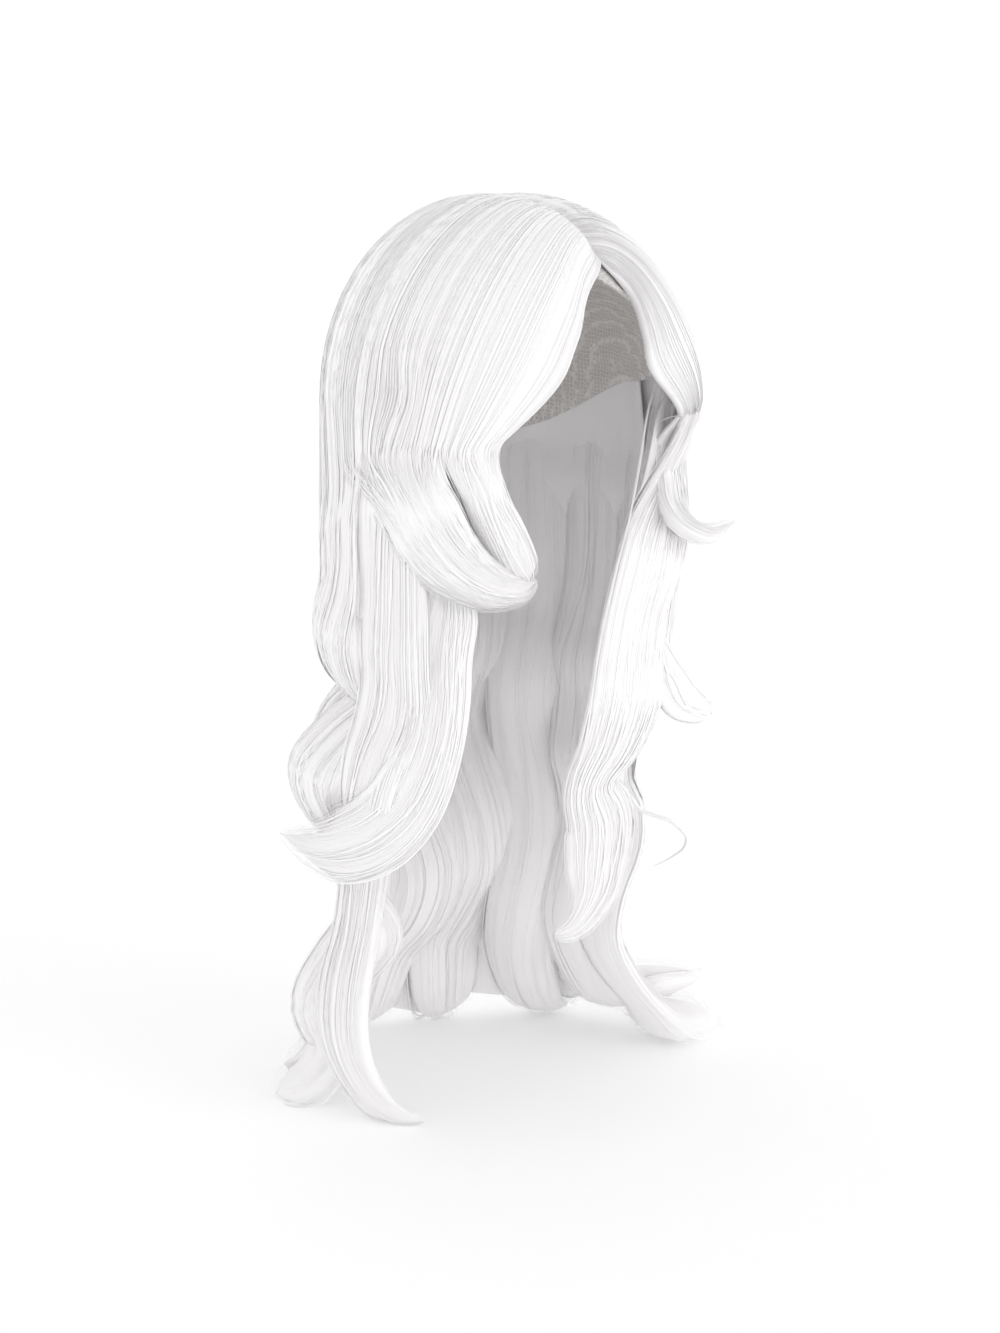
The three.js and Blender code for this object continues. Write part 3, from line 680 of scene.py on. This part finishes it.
class Lock:
    """The course of one lock: its middle line, its turning section and its sizes."""

    def __init__(self, facing, rows, steps=321):
        rows = np.array(rows, float)
        low = np.minimum(rows[:, 1] * fall, fall - rows[:, 4] * lock_deep / 2)
        self.at = np.linspace(0, 1, steps)
        self.middle = smooth_curve(stand_at(rows[:, 0], rows[:, 2] * reach, -low), self.at,
                                   False)
        sizes = smooth_curve(rows[:, 3:5], self.at, True)
        self.half_wide = np.maximum(sizes[:, 0] * lock_wide / 2, least_half)
        self.half_deep = np.maximum(sizes[:, 1] * lock_deep / 2, least_half)
        self.along = np.gradient(self.middle, axis=0)
        self.along /= np.linalg.norm(self.along, axis=1, keepdims=True)
        out = stand_at(facing, 1.0, 0.0)
        outs = []
        for along in self.along:
            out = out - along * out.dot(along)
            out /= np.linalg.norm(out)
            outs.append(out)
        self.out = np.array(outs)
        self.across = np.cross(self.out, self.along)
        self.middle[:, 2] = np.maximum(self.middle[:, 2], self.half_deep - fall)
        self.length = np.concatenate(
            [[0], np.cumsum(np.linalg.norm(np.diff(self.middle, axis=0), axis=1))])
        self.pressed = None

    def read(self, values, at):
        """A stored row of values, read at shares of the course."""
        place = np.clip(np.asarray(at, float), 0, 1) * (len(self.at) - 1)
        row = np.minimum(place.astype(int), len(self.at) - 2)
        share = place - row
        if values.ndim == 2:
            share = share[..., None]
        return values[row] * (1 - share) + values[row + 1] * share

    def surface(self, at, turn, lift=0.0, swell=1.0):
        """Points of the surface at shares of the course and turns of the section."""
        at, turn, lift, swell = np.broadcast_arrays(at, turn, lift, swell)
        wide = (self.read(self.half_wide, at) * swell + lift) * np.cos(turn)
        deep = (self.read(self.half_deep, at) * swell + lift) * np.sin(turn)
        points = (self.read(self.middle, at) + self.read(self.across, at) * wide[..., None]
                  + self.read(self.out, at) * deep[..., None])
        points[..., 2] = np.maximum(points[..., 2], table_level + gap)
        if self.pressed:
            begins, ends, stand = self.pressed
            hold = smooth_step(at, *begins) * (1 - smooth_step(at, *ends))
            hold = hold * np.clip(-np.cos(turn), 0, 1) ** 1.2
            to = curtain_face(around_of(points), points[..., 2]) + stand + 0.5 * lift
            points = moved_out(points, to, hold)
        return points

    def facing(self, at, turn):
        """The direction that the surface faces there."""
        wide = np.cos(turn) / self.read(self.half_wide, at)
        deep = np.sin(turn) / self.read(self.half_deep, at)
        facing = self.read(self.across, at) * wide[..., None]
        facing = facing + self.read(self.out, at) * deep[..., None]
        return facing / np.linalg.norm(facing, axis=-1, keepdims=True)


def lobes(turn, at, seed):
    """The grouping of a lock into smaller bundles, from 0 in a groove to 1 on a bundle."""
    draw = np.random.default_rng(seed)
    total = np.zeros(np.broadcast(turn, at).shape)
    weight = 0
    for count in (2, 3, 5, 8):
        shift = draw.random() * 6 + draw.uniform(0.6, 1.3) * np.sin(at * draw.uniform(3, 7))
        total += np.cos(count * turn + shift) / count ** 0.5
        weight += 1 / count ** 0.5
    return 0.5 + 0.5 * total / weight


combed_tree = BVHTree.FromPolygons(np.concatenate(combed_points).tolist(),
                                   np.concatenate(combed_faces).tolist())
tuck = 2.0
tuck_below, tuck_above = -70.0, -175.0
ray_from, ray_long = 300, 250


def tucked(points):
    """The same points, kept under the combed hair wherever it hangs over them."""
    points = points.copy()
    flat = points.reshape(-1, 3)
    for index in np.nonzero((flat[:, 2] < tuck_below) & (flat[:, 2] > tuck_above))[0]:
        x, y, z = flat[index]
        far = math.hypot(x, y)
        hit = combed_tree.ray_cast(Vector((x / far * ray_from, y / far * ray_from, z)),
                                   Vector((-x / far, -y / far, 0)), ray_long)[0]
        if hit:
            flat[index, :2] *= min(1.0, (math.hypot(hit.x, hit.y) - tuck) / far)
    return points


groove_root, groove_gain = 0.02, 0.08
lock_sides = 48
row_step = 5.5
lock_ridge = 0.15
ends_from, ends_lose = 0.8, 0.88
thin_until = {"sweep_lock_right": 0.34, "face_lock_right": 0.34, "face_lock_left": 0.34,
              "shoulder_lock_left": 0.2}
thin_root = 0.15
locks = {name: Lock(facing, rows) for name, (facing, rows) in shaped_locks.items()}
locks.update({name: Lock(row[0], hanging_rows(*row)) for name, row in hanging_locks.items()})
curtain = ["side_lock_right_1", *hanging_locks]

# The back edges of these two lie close on the hanging hair: where on their course that
# begins and ends, and how far they stand from it
locks["sweep_lock_right"].pressed = ((0.12, 0.35), (0.66, 0.88), 0.6)
locks["wing_lock_right"].pressed = ((0.0, 0.12), (0.9, 1.0), 0.6)


def grooves(turn, at, seed):
    """How deep the grooves between a lock's bundles are, as a share of its size."""
    return (1 - lobes(turn, at, 50 + seed)) * (groove_root + groove_gain * at)


for seed, (name, lock) in enumerate(locks.items()):
    rows = max(int(lock.length[-1] / row_step), 24)
    at = np.interp(np.linspace(0, lock.length[-1], rows), lock.length, lock.at)[:, None]
    turn = (2 * np.pi * np.arange(lock_sides) / lock_sides)[None, :]
    thin = 1 - np.clip((at - ends_from) / (1 - ends_from), 0, 1) ** 1.4 * ends_lose
    if name in thin_until:
        thin = thin * np.clip(at / thin_until[name], thin_root, 1)
    ridges = fine_ridges(turn * 20, at * lock.length[-1], 70 + seed, widest=9.0)
    points = tucked(lock.surface(at, turn, lock_ridge * ridges * np.sin(turn / 2) - bed_sunk,
                                 (1 - grooves(turn, at, seed)) * thin))
    size = rows * lock_sides
    ring = np.arange(lock_sides)
    place = fibre_place(lock.read(lock.half_wide, at) * np.cos(turn),
                        lock.read(lock.half_deep, at) * np.sin(turn) + 40 * seed,
                        at * lock.length[-1])
    made_mesh(name + "_bed",
              np.concatenate([points.reshape(-1, 3), lock.middle[[0, -1]]]),
              [grid_faces(rows, lock_sides, closed=True), fan(size, ring),
               fan(size + 1, ring + size - lock_sides)[:, ::-1]],
              shaded_bed_white, np.concatenate([place, place[[0, -1]]]), name)

# The hair between the locks
# Above their ends the hanging locks aren't apart: looser hair lies across the hollow from
# each one to the next, so that the fall is one waved curtain down to where it divides.

web_rows, web_columns = 90, 8
web_ends = {"side_lock_right_1": 0.7}
web_end = 0.9
web_edge = math.radians(28)
web_wide = 24
web_deep = 3.5
web_sunk = 1.5
web_divides = (0.66, 0.88)


def between(first, second, at, share, lift=0.0):
    """Points of the hollow's surface from one lock to the next."""
    left = first.surface(at, np.pi - web_edge, lift)
    right = second.surface(at, web_edge, lift)
    points = left * (1 - share[..., None]) + right * share[..., None]
    full = np.maximum(curtain_face(around_of(points), points[..., 2]) - web_sunk + lift,
                      far_of(points))
    hold = np.sin(np.pi * np.clip(share, 0, 1)) ** 0.7 * (1 - smooth_step(at, *web_divides))
    return moved_out(points, full, hold)


for index, (name, after) in enumerate(zip(curtain, curtain[1:])):
    until = web_ends.get(name, web_end)
    at, share = np.meshgrid(np.linspace(0.02, until, web_rows),
                            np.linspace(0, 1, web_columns), indexing="ij")
    lock, neighbour = locks[name], locks[after]
    ridges = fine_ridges(share * web_wide, at * lock.length[-1], 120 + index)
    thin = web_deep * np.clip((until - at) / 0.15, 0.2, 1)
    outer = tucked(between(lock, neighbour, at, share, 0.2 * ridges - 0.6))
    inner = between(lock, neighbour, at, share, -0.6 - thin)
    inner = moved_out(inner, np.minimum(far_of(inner), far_of(outer) - 1), 1)
    hair_sheet(name + "_web", outer, inner,
               fibre_place(share * web_wide, 40 * index, at * lock.length[-1]))

# The long strands
# The top hair runs unbroken from the parting over the crown, across the cap's hem and down
# the locks to their ends. It hides where the locks begin, and its ends are left ragged.

strand_points = 62
strand_half = (0.13, 0.27)
wisp_half = (0.35, 0.8)
wisp_share = 0.15
strand_deep = 0.05


def tubes(name, paths, faces_to, half_wide, half_deep, tone_seed):
    """Closed three-sided strands along paths, flat to the surface and pointed at both ends."""
    count, length = paths.shape[:2]
    along = np.gradient(paths, axis=1)
    along /= np.linalg.norm(along, axis=-1, keepdims=True) + 1e-9
    up = faces_to - along * np.einsum("ijk,ijk->ij", faces_to, along)[..., None]
    up /= np.linalg.norm(up, axis=-1, keepdims=True) + 1e-9
    across = np.cross(along, up)
    share = np.linspace(0, 1, length)
    point = np.clip(np.minimum(share / 0.06, (1 - share) / 0.22), 0.12, 1) ** 0.7
    wide = (np.broadcast_to(half_wide, count)[:, None] * point)[..., None]
    deep = half_deep * point[None, :, None]
    corners = np.stack([paths - across * wide - up * deep * 0.5,
                        paths + across * wide - up * deep * 0.5, paths + up * deep], 2)
    corners[..., 2] = np.maximum(corners[..., 2], table_level + 0.05)
    base = (np.arange(count) * length * 3)[:, None, None]
    step = (np.arange(length - 1) * 3)[None, :, None]
    corner = np.arange(3)[None, None, :]
    first = base + step + corner
    second = base + step + (corner + 1) % 3
    quads = np.stack([first, second, second + 3, first + 3], -1).reshape(-1, 4)
    start = (np.arange(count) * length * 3)[:, None]
    caps = np.concatenate([start + [2, 1, 0], start + (length - 1) * 3 + [0, 1, 2]])
    draw = np.random.default_rng(tone_seed)
    ground = np.broadcast_to(draw.random((count, 1, 1, 2)), (count, length, 3, 2))
    run = np.broadcast_to((share * 0.02)[None, :, None, None], (count, length, 3, 1))
    made_mesh(name, corners.reshape(-1, 3), [quads, caps], strand_white,
              np.concatenate([ground, run], -1).reshape(-1, 3), smooth=False)


def spread_along(path, facing, count):
    """A path and its facings at a number of points, which lie closer where it bends."""
    steps = np.diff(path, axis=0)
    sizes = np.linalg.norm(steps, axis=1) + 1e-9
    ways = steps / sizes[:, None]
    turns = np.linalg.norm(np.diff(ways, axis=0), axis=1)
    bends = np.concatenate([[turns[0]], (turns[1:] + turns[:-1]) / 2, [turns[-1]]]) / sizes
    bends = np.convolve(np.pad(bends, 3, "edge"), np.ones(7) / 7, "valid")
    run = np.concatenate([[0], np.cumsum(sizes * np.sqrt(bends + 0.006))])
    to = np.linspace(0, run[-1], count)
    return [np.stack([np.interp(to, run, values[:, i]) for i in range(3)], -1)
            for values in (path, facing)]


def lay_strands(name, strands, seed, spread=True):
    """One piece of fine strands and flatter wisps, each a path and its facings."""
    if spread:
        strands = [spread_along(path, facing, strand_points) for path, facing in strands]
    paths, facings = (np.array(values) for values in zip(*strands))
    draw = np.random.default_rng(200 + seed)
    broad = draw.random(len(paths)) < wisp_share
    half = np.where(broad, draw.uniform(*wisp_half, len(paths)),
                    draw.uniform(*strand_half, len(paths)))
    tubes(name, paths, facings, half, strand_deep, 300 + seed)


# Strands stand a little clearer of the bed on the lip of the dent, where it bends most
lip_clear, lip_far, lip_wide = 0.6, 1.25, 0.7


def crown_path(around, shares, lift):
    """The way of a strand from the parting to the hem at some degrees around."""
    around = (around + 180) % 360 - 180
    side = 1 if around > 0 else -1
    size = abs(around)
    if size >= crown_hem[0, 1]:
        back = np.interp(size, crown_hem[:, 1], np.linspace(0, 1, len(crown_hem)))
        turn, dip, trim = crown_at(side, back, shares)
    else:
        edge = abs(bang_edges[side][-1, 1])
        across = np.clip((size - edge) / (crown_hem[0, 1] - edge), 0.02, 0.97)
        turn, dip, trim = bang_at(side, across, shares)
    far = np.hypot(turn - dent_around, dip - dent_dip) / dent_wide
    clear = lip_clear * np.exp(-((far - lip_far) / lip_wide) ** 2)
    return on_head(turn, dip, comb_lift(shares, 2, trim) + lift + clear)


def bridge(upper, lower, count):
    """Points of a smooth curve that leaves one path and meets another."""
    start, end = upper[-1], lower[0]
    size = np.linalg.norm(end - start)
    leave, arrive = upper[-1] - upper[-3], lower[2] - lower[0]
    leave = leave * size / np.linalg.norm(leave)
    arrive = arrive * size / np.linalg.norm(arrive)
    t = np.linspace(0, 1, count + 2)[1:-1, None]
    return (start * (2 * t ** 3 - 3 * t ** 2 + 1) + leave * (t ** 3 - 2 * t ** 2 + t)
            + end * (3 * t ** 2 - 2 * t ** 3) + arrive * (t ** 3 - t ** 2))


def off_head(points):
    """The directions straight away from the head."""
    away = points + (0, 0, head_rise)
    away[:, 2] = np.maximum(away[:, 2], 0)
    return away / np.linalg.norm(away, axis=1, keepdims=True)


def outward(points):
    """The level directions away from the upright line."""
    return points * (1, 1, 0) / far_of(points)[..., None]


def from_parting(points, facing, around, lift, crown_end, first):
    """A lock's strand, carried up over the crown to the parting."""
    crown = crown_path(around, np.linspace(0.004, crown_end, 22), lift)
    over = np.concatenate([crown, bridge(crown, points[first:], 8)])
    return (np.concatenate([over, points[first:]]),
            np.concatenate([off_head(over), facing[first:]]))


over_from, over_to = 84.0, 285.0
over_down = (24.0, 84.0)
over_fade = (12, 10)
over_sunk = 1.9
over_swell = 4.2
swell_down = (12.0, 66.0)


def over_face(around, height, hem):
    """How far out the sheet over the hem is: fullest by the hem, and sunk among the locks
    farther down."""
    swell = over_swell * smooth_step(height, hem - swell_down[1], hem - swell_down[0])
    return curtain_face(around, height) - over_sunk + swell


def straight_up(points, facing, stand, lift):
    """A hanging strand, lifted onto the sheet that runs down from the hem, and carried
    straight up to the parting."""
    root = around_of(points[12])
    hem = crown_path(root, np.array([0.96]), 0.0)[0, 2]
    around = around_of(points) % 360
    full = np.maximum(over_face(around, points[:, 2], hem) + stand, far_of(points))
    hold = smooth_step(points[:, 2], hem - over_down[1], hem - over_down[1] + over_fade[0])
    hold = hold * smooth_step(around, over_from, over_from + over_fade[1])
    hold = hold * (1 - smooth_step(around, over_to - over_fade[1], over_to))
    points = moved_out(points, full, hold)
    first = int(np.argmax(points[:, 2] < hem - 22))
    return from_parting(points, facing, root, lift, 0.95, first)


def strands_of(lock, seed, count, gather, inner_share, reach_out):
    """Paths and facings of a lock's strands. Those of its outer face are gathered from a
    part of the hem, or run straight up where the lock hangs."""
    draw = np.random.default_rng(seed)
    strands = []
    for _ in range(count):
        inner = draw.random() < inner_share
        place = math.acos(draw.uniform(-0.97, 0.97))
        if draw.random() < 0.4:
            place = draw.uniform(-0.1, 1.1) * np.pi
        last = 1 - 0.16 * draw.random() ** 2.5
        wander = draw.normal(0, 0.16)
        pace = draw.uniform(4, 9)
        phase = draw.random() * 6.3
        shares = np.linspace(0, last, 90)
        turn = (-place if inner else place) + wander * np.sin(shares * pace + phase)
        loose = draw.normal(0, 0.1) + 0.06
        spread = 1 + reach_out * max(draw.normal(0.2, 0.5), -0.3) * shares ** 4
        points = lock.surface(shares, turn, loose, (1 - grooves(turn, shares, seed)) * spread)
        facing = lock.facing(shares, turn)
        lift = draw.uniform(-0.22, 0.05)
        if gather == "straight up" and not inner:
            points, facing = straight_up(points, facing, 0.2 + loose, lift)
        elif gather != "free" and not inner:
            low, high, join, leave = gather
            around = low + (high - low) * (1 - math.cos(place)) / 2 + draw.normal(0, 1)
            first = int(len(shares) * (join + draw.uniform(-0.02, 0.04)))
            points, facing = from_parting(points, facing, around, lift, leave, first)
        strands.append((points, facing))
    return strands


def strands_between(first, second, count, seed):
    """Strands that lie across the hollow from one lock to the next, and join one of them
    where the curtain divides."""
    draw = np.random.default_rng(seed)
    strands = []
    for _ in range(count):
        own = draw.random()
        shares = np.linspace(0, 1 - 0.12 * draw.random(), 90)
        eased = smooth_step(shares, 0.6, 0.93)
        share = own + (round(own) - own) * eased + 0.06 * np.sin(shares * 9 + own * 20)
        points = between(first, second, shares, np.clip(share, 0, 1), draw.uniform(-0.25, 0.2))
        facing = first.facing(shares, np.full(90, np.pi / 2))
        strands.append(straight_up(points, facing, 0.3, draw.uniform(-0.22, 0.05)))
    return strands


# Each lock's strands: how many, the way up of the outer ones, the share on its inner side,
# and how far the ends spread. The gathered ones have degrees around of the hem, and where
# they join the lock and leave the crown.
lock_strands = {
    "sweep_lock_right": (190, (63, 106, 0.36, 0.84), 0.12, 0.3),
    "face_lock_right": (90, (49.5, 62, 0.36, 0.86), 0.25, 0.3),
    "wing_lock_right": (130, "free", 0.35, 0.3),
    "face_lock_left": (110, (-63, -49, 0.36, 0.84), 0.25, 0.4),
    "shoulder_lock_left": (130, (-76, -49, 0.24, 0.84), 0.25, 0.3),
    "flick_lock_left": (30, "free", 0.3, 0.3),
    "side_lock_right_1": (90, "straight up", 0.3, 0.42),
    **{name: (90, "straight up", 0.25, 0.42) for name in hanging_locks}}
web_strands = 28

# Where a lock is gathered from a wide part of the hem, a thin sheet of hair leads into it
gather_rows, gather_columns = 70, 30
gather_steps = 120
gather_sunk = 1.8
gather_deep = 2.2
gather_ends = 0.6
for name, (_, gather, _, _) in lock_strands.items():
    if isinstance(gather, str):
        continue
    lock = locks[name]
    low, high, join, leave = gather
    outer, inner = [], []
    for across in np.linspace(-0.98, 0.98, gather_columns):
        shares = np.linspace(0, gather_ends, gather_steps)
        turn = np.full(gather_steps, math.acos(across))
        around = low + (high - low) * (1 - across) / 2
        points, facing = from_parting(lock.surface(shares, turn, -0.3), lock.facing(shares, turn),
                                      around, -1.1, leave, int(gather_steps * join / gather_ends))
        points, facing = spread_along(points[12:], facing[12:], gather_rows)
        fade = np.clip(np.linspace(0, 1, gather_rows) * 5, 0, 1)
        fade = (fade * np.clip(np.linspace(1, 0, gather_rows) * 5, 0, 1))[:, None]
        outer.append(points - facing * (gather_sunk * (1 - fade)))
        inner.append(points - facing * (gather_sunk + gather_deep * fade))
    hair_sheet(name + "_gathered", outer, inner,
               fibre_place(np.linspace(0, 50, gather_columns)[:, None], 30.0,
                           np.linspace(0, lock.length[-1] + 150, gather_rows)[None, :]))

# The combed hair runs on over the hem and down the hanging locks. A thin sheet of it lies
# there, from the hair above the ears round the back.
over_columns, over_rows = 130, 40
over_deep = 2.0
over_dive = 3.4
over_leaves = 0.62
outer, inner = [], []
for around in np.linspace(over_from, over_to, over_columns):
    upper = crown_path(around, np.linspace(over_leaves, 0.93, 14), -0.2)
    hem = upper[-1, 2]
    heights = np.linspace(hem - over_down[0], hem - over_down[1], 16)
    lower = stand_at(around, over_face(np.full(16, around), heights, hem), heights)
    course = np.concatenate([upper, bridge(upper, lower, 10), lower])
    side = math.sin(math.pi * (around - over_from) / (over_to - over_from)) ** 0.2
    dive = 1 - side * np.clip(np.minimum(np.linspace(0, 7, over_rows),
                                         np.linspace(4.5, 0, over_rows)), 0, 1)
    ridges = fine_ridges(np.full(over_rows, around * 1.6), np.linspace(0, 120, over_rows), 77)
    outer.append(course + off_head(course) * (0.25 * ridges - over_dive * dive)[:, None])
    inner.append(course - off_head(course) * (over_deep + over_dive * dive)[:, None])
hair_sheet("hem_to_locks", outer, inner,
           fibre_place(np.linspace(0, 330, over_columns)[:, None], 60.0,
                       np.linspace(0, 120, over_rows)[None, :]))

# Inside, the roots of the hanging locks lie behind a smooth layer that comes down from
# under the cap's hem and goes into the locks
lining_from, lining_to = 82.0, 280.0
lining_columns = 80
lining_deep = 1.5
lining_starts = 0.85
lining_fades = (-155.0, -212.0)
lining_ends = 9.5
outer, inner = [], []
for around in np.linspace(lining_from, lining_to, lining_columns):
    folded = abs((around + 180) % 360 - 180)
    upper = on_head(np.full(8, around), np.linspace(lining_starts, 0.985, 8)
                    * read(cap_hem, folded, 1), np.full(8, cap_wall + 0.6))
    heights = np.linspace(min(upper[-1, 2] - 18, -150), lining_fades[1], 14)
    face = curtain_face(np.full(14, around), heights)
    out = face - lock_deep * np.interp(-heights / fall, taper[:, 0], taper[:, 2]) + 0.6
    blend = smooth_step(-heights, -lining_fades[0], -lining_fades[1])
    lower = stand_at(around, out * (1 - blend) + (face - lining_ends) * blend, heights)
    course = np.concatenate([upper, bridge(upper, lower, 8), lower])
    inner.append(course)
    outer.append(course + outward(course) * lining_deep)
hair_sheet("roots_lining", outer, inner,
           fibre_place(np.linspace(0, 260, lining_columns)[:, None], 80.0,
                       np.linspace(0, 90, 30)[None, :]))

for seed, (name, lock) in enumerate(locks.items()):
    lay_strands(name + "_strands", strands_of(lock, seed, *lock_strands[name]), seed)
for seed, (name, after) in enumerate(zip(curtain, curtain[1:])):
    strands = strands_between(locks[name], locks[after], web_strands, 400 + seed)
    lay_strands(name + "_web_strands", strands, 420 + seed)

# The front edge of the right side lock shows beside the wing. Finer hair lies over it.
edge_lock = locks["side_lock_right_1"]
edge_count = 30
edge_starts, edge_ends = (0.12, 0.2), (0.46, 0.64)
edge_turns = (-0.55, 0.5)
draw = np.random.default_rng(55)
strands = []
for _ in range(edge_count):
    shares = np.linspace(draw.uniform(*edge_starts), draw.uniform(*edge_ends), 90)
    turn = draw.uniform(*edge_turns) + 0.12 * np.sin(shares * draw.uniform(6, 14))
    strands.append((edge_lock.surface(shares, turn, draw.uniform(-0.1, 0.25)),
                    edge_lock.facing(shares, turn)))
lay_strands("side_lock_right_1_edge", strands, 430)

# From the left temple, hair lies in a thin layer between the shoulder lock and the side
temple_from, temple_to = -118.0, -345.0
temple_rows, temple_columns = 60, 26
temple_wide, temple_long = 60, 210
temple_bow = 0.09
temple_deep = 1.6
temple_ragged = 0.42


def beside_temple(heights, share):
    """Points between the side lock's front edge and the shoulder lock's outer edge."""
    edges = []
    for lock, turn in ((locks["side_lock_left_1"], np.pi - web_edge),
                       (locks["shoulder_lock_left"], web_edge)):
        down = np.maximum.accumulate(-lock.middle[:, 2])
        edges.append(lock.surface(np.interp(-heights, down, lock.at), turn, -0.8))
    points = edges[0] * (1 - share[..., None]) + edges[1] * share[..., None]
    points[..., :2] *= (1 + temple_bow * np.sin(np.pi * share))[..., None]
    points[..., 2] = heights
    return points


share, run = np.meshgrid(np.linspace(0, 1, temple_columns), np.linspace(0, 1, temple_rows),
                         indexing="ij")
ragged = 1 - temple_ragged * np.sin(np.pi * share) + 0.03 * np.sin(share * 31)
middle = beside_temple(temple_from + (temple_to - temple_from) * run * ragged, share)
ridges = fine_ridges(share * temple_wide, run * 200, 91)
fade = np.clip((1 - run) * 4, 0.1, 1)[..., None]
hair_sheet("temple_layer", middle + outward(middle) * (0.3 * ridges[..., None]),
           middle - outward(middle) * temple_deep * fade,
           fibre_place(share * temple_wide, 100, run * temple_long))

temple_count = 90
draw = np.random.default_rng(33)
strands = []
for _ in range(temple_count):
    own = draw.uniform(0.01, 0.99)
    inside = draw.random() < 0.25
    run = np.linspace(0, 1, 90)
    end = 1 - (temple_ragged - 0.25 * draw.random()) * math.sin(math.pi * own)
    drift = own + 0.05 * np.sin(run * draw.uniform(3, 8) + draw.random() * 6)
    points = beside_temple(temple_from + (temple_to - temple_from) * run * end,
                           np.clip(drift, 0, 1))
    stand = -temple_deep - 0.2 if inside else draw.uniform(0.2, 0.6)
    strands.append((points + outward(points) * stand, outward(points) * (-1 if inside else 1)))
lay_strands("temple_strands", strands, 440)

# Behind the whorl both sides are combed down together, and fine hair lies over their seam
seam_count = 45
seam_spread = 1.6
draw = np.random.default_rng(61)
strands = []
for _ in range(seam_count):
    shares = np.linspace(draw.uniform(0.01, 0.2), draw.uniform(0.8, 1.0), strand_points)
    path = crown_path(180.0, shares, draw.uniform(-0.05, 0.2))
    path[:, 0] = draw.uniform(-seam_spread, seam_spread) + 0.4 * np.sin(shares * 7)
    strands.append((path, path + (0, 0, head_rise)))
lay_strands("back_seam_strands", strands, 450, spread=False)

# One loose curl stands out from the left side: shares of the fall and the reach
stray_around = -52.0
stray_half_wide, stray_half_deep = 1.3, 1.0
stray_rows = np.array([
    (0.635, 0.56), (0.65, 0.61), (0.668, 0.668), (0.675, 0.745), (0.681, 0.822),
    (0.691, 0.879), (0.701, 0.91), (0.714, 0.895), (0.724, 0.834), (0.735, 0.737)])
stray_course = smooth_curve(
    stand_at(stray_around, stray_rows[:, 1] * reach, -stray_rows[:, 0] * fall),
    np.linspace(0, 1, strand_points), False)
tubes("loose_curl", stray_course[None], np.tile((-0.6, -0.8, 0.3), (1, strand_points, 1)),
      stray_half_wide, stray_half_deep, 500)

# A few short hairs stand up from the combed surface
flyaway_count = 60
flyaway_half_wide, flyaway_half_deep = 0.1, 0.08
draw = np.random.default_rng(21)
paths = []
for _ in range(flyaway_count):
    around = draw.uniform(-175, 175)
    start = draw.uniform(0.05, 0.8)
    shares = np.linspace(start, start + draw.uniform(0.08, 0.2), strand_points)
    rise = draw.uniform(0.8, 3.0) * np.sin(np.linspace(0, draw.uniform(1.2, 2.4), strand_points))
    paths.append(crown_path(around, shares, rise - 0.3))
tubes("flyaways", np.array(paths), np.array(paths) + (0, 0, head_rise), flyaway_half_wide,
      flyaway_half_deep, 510)
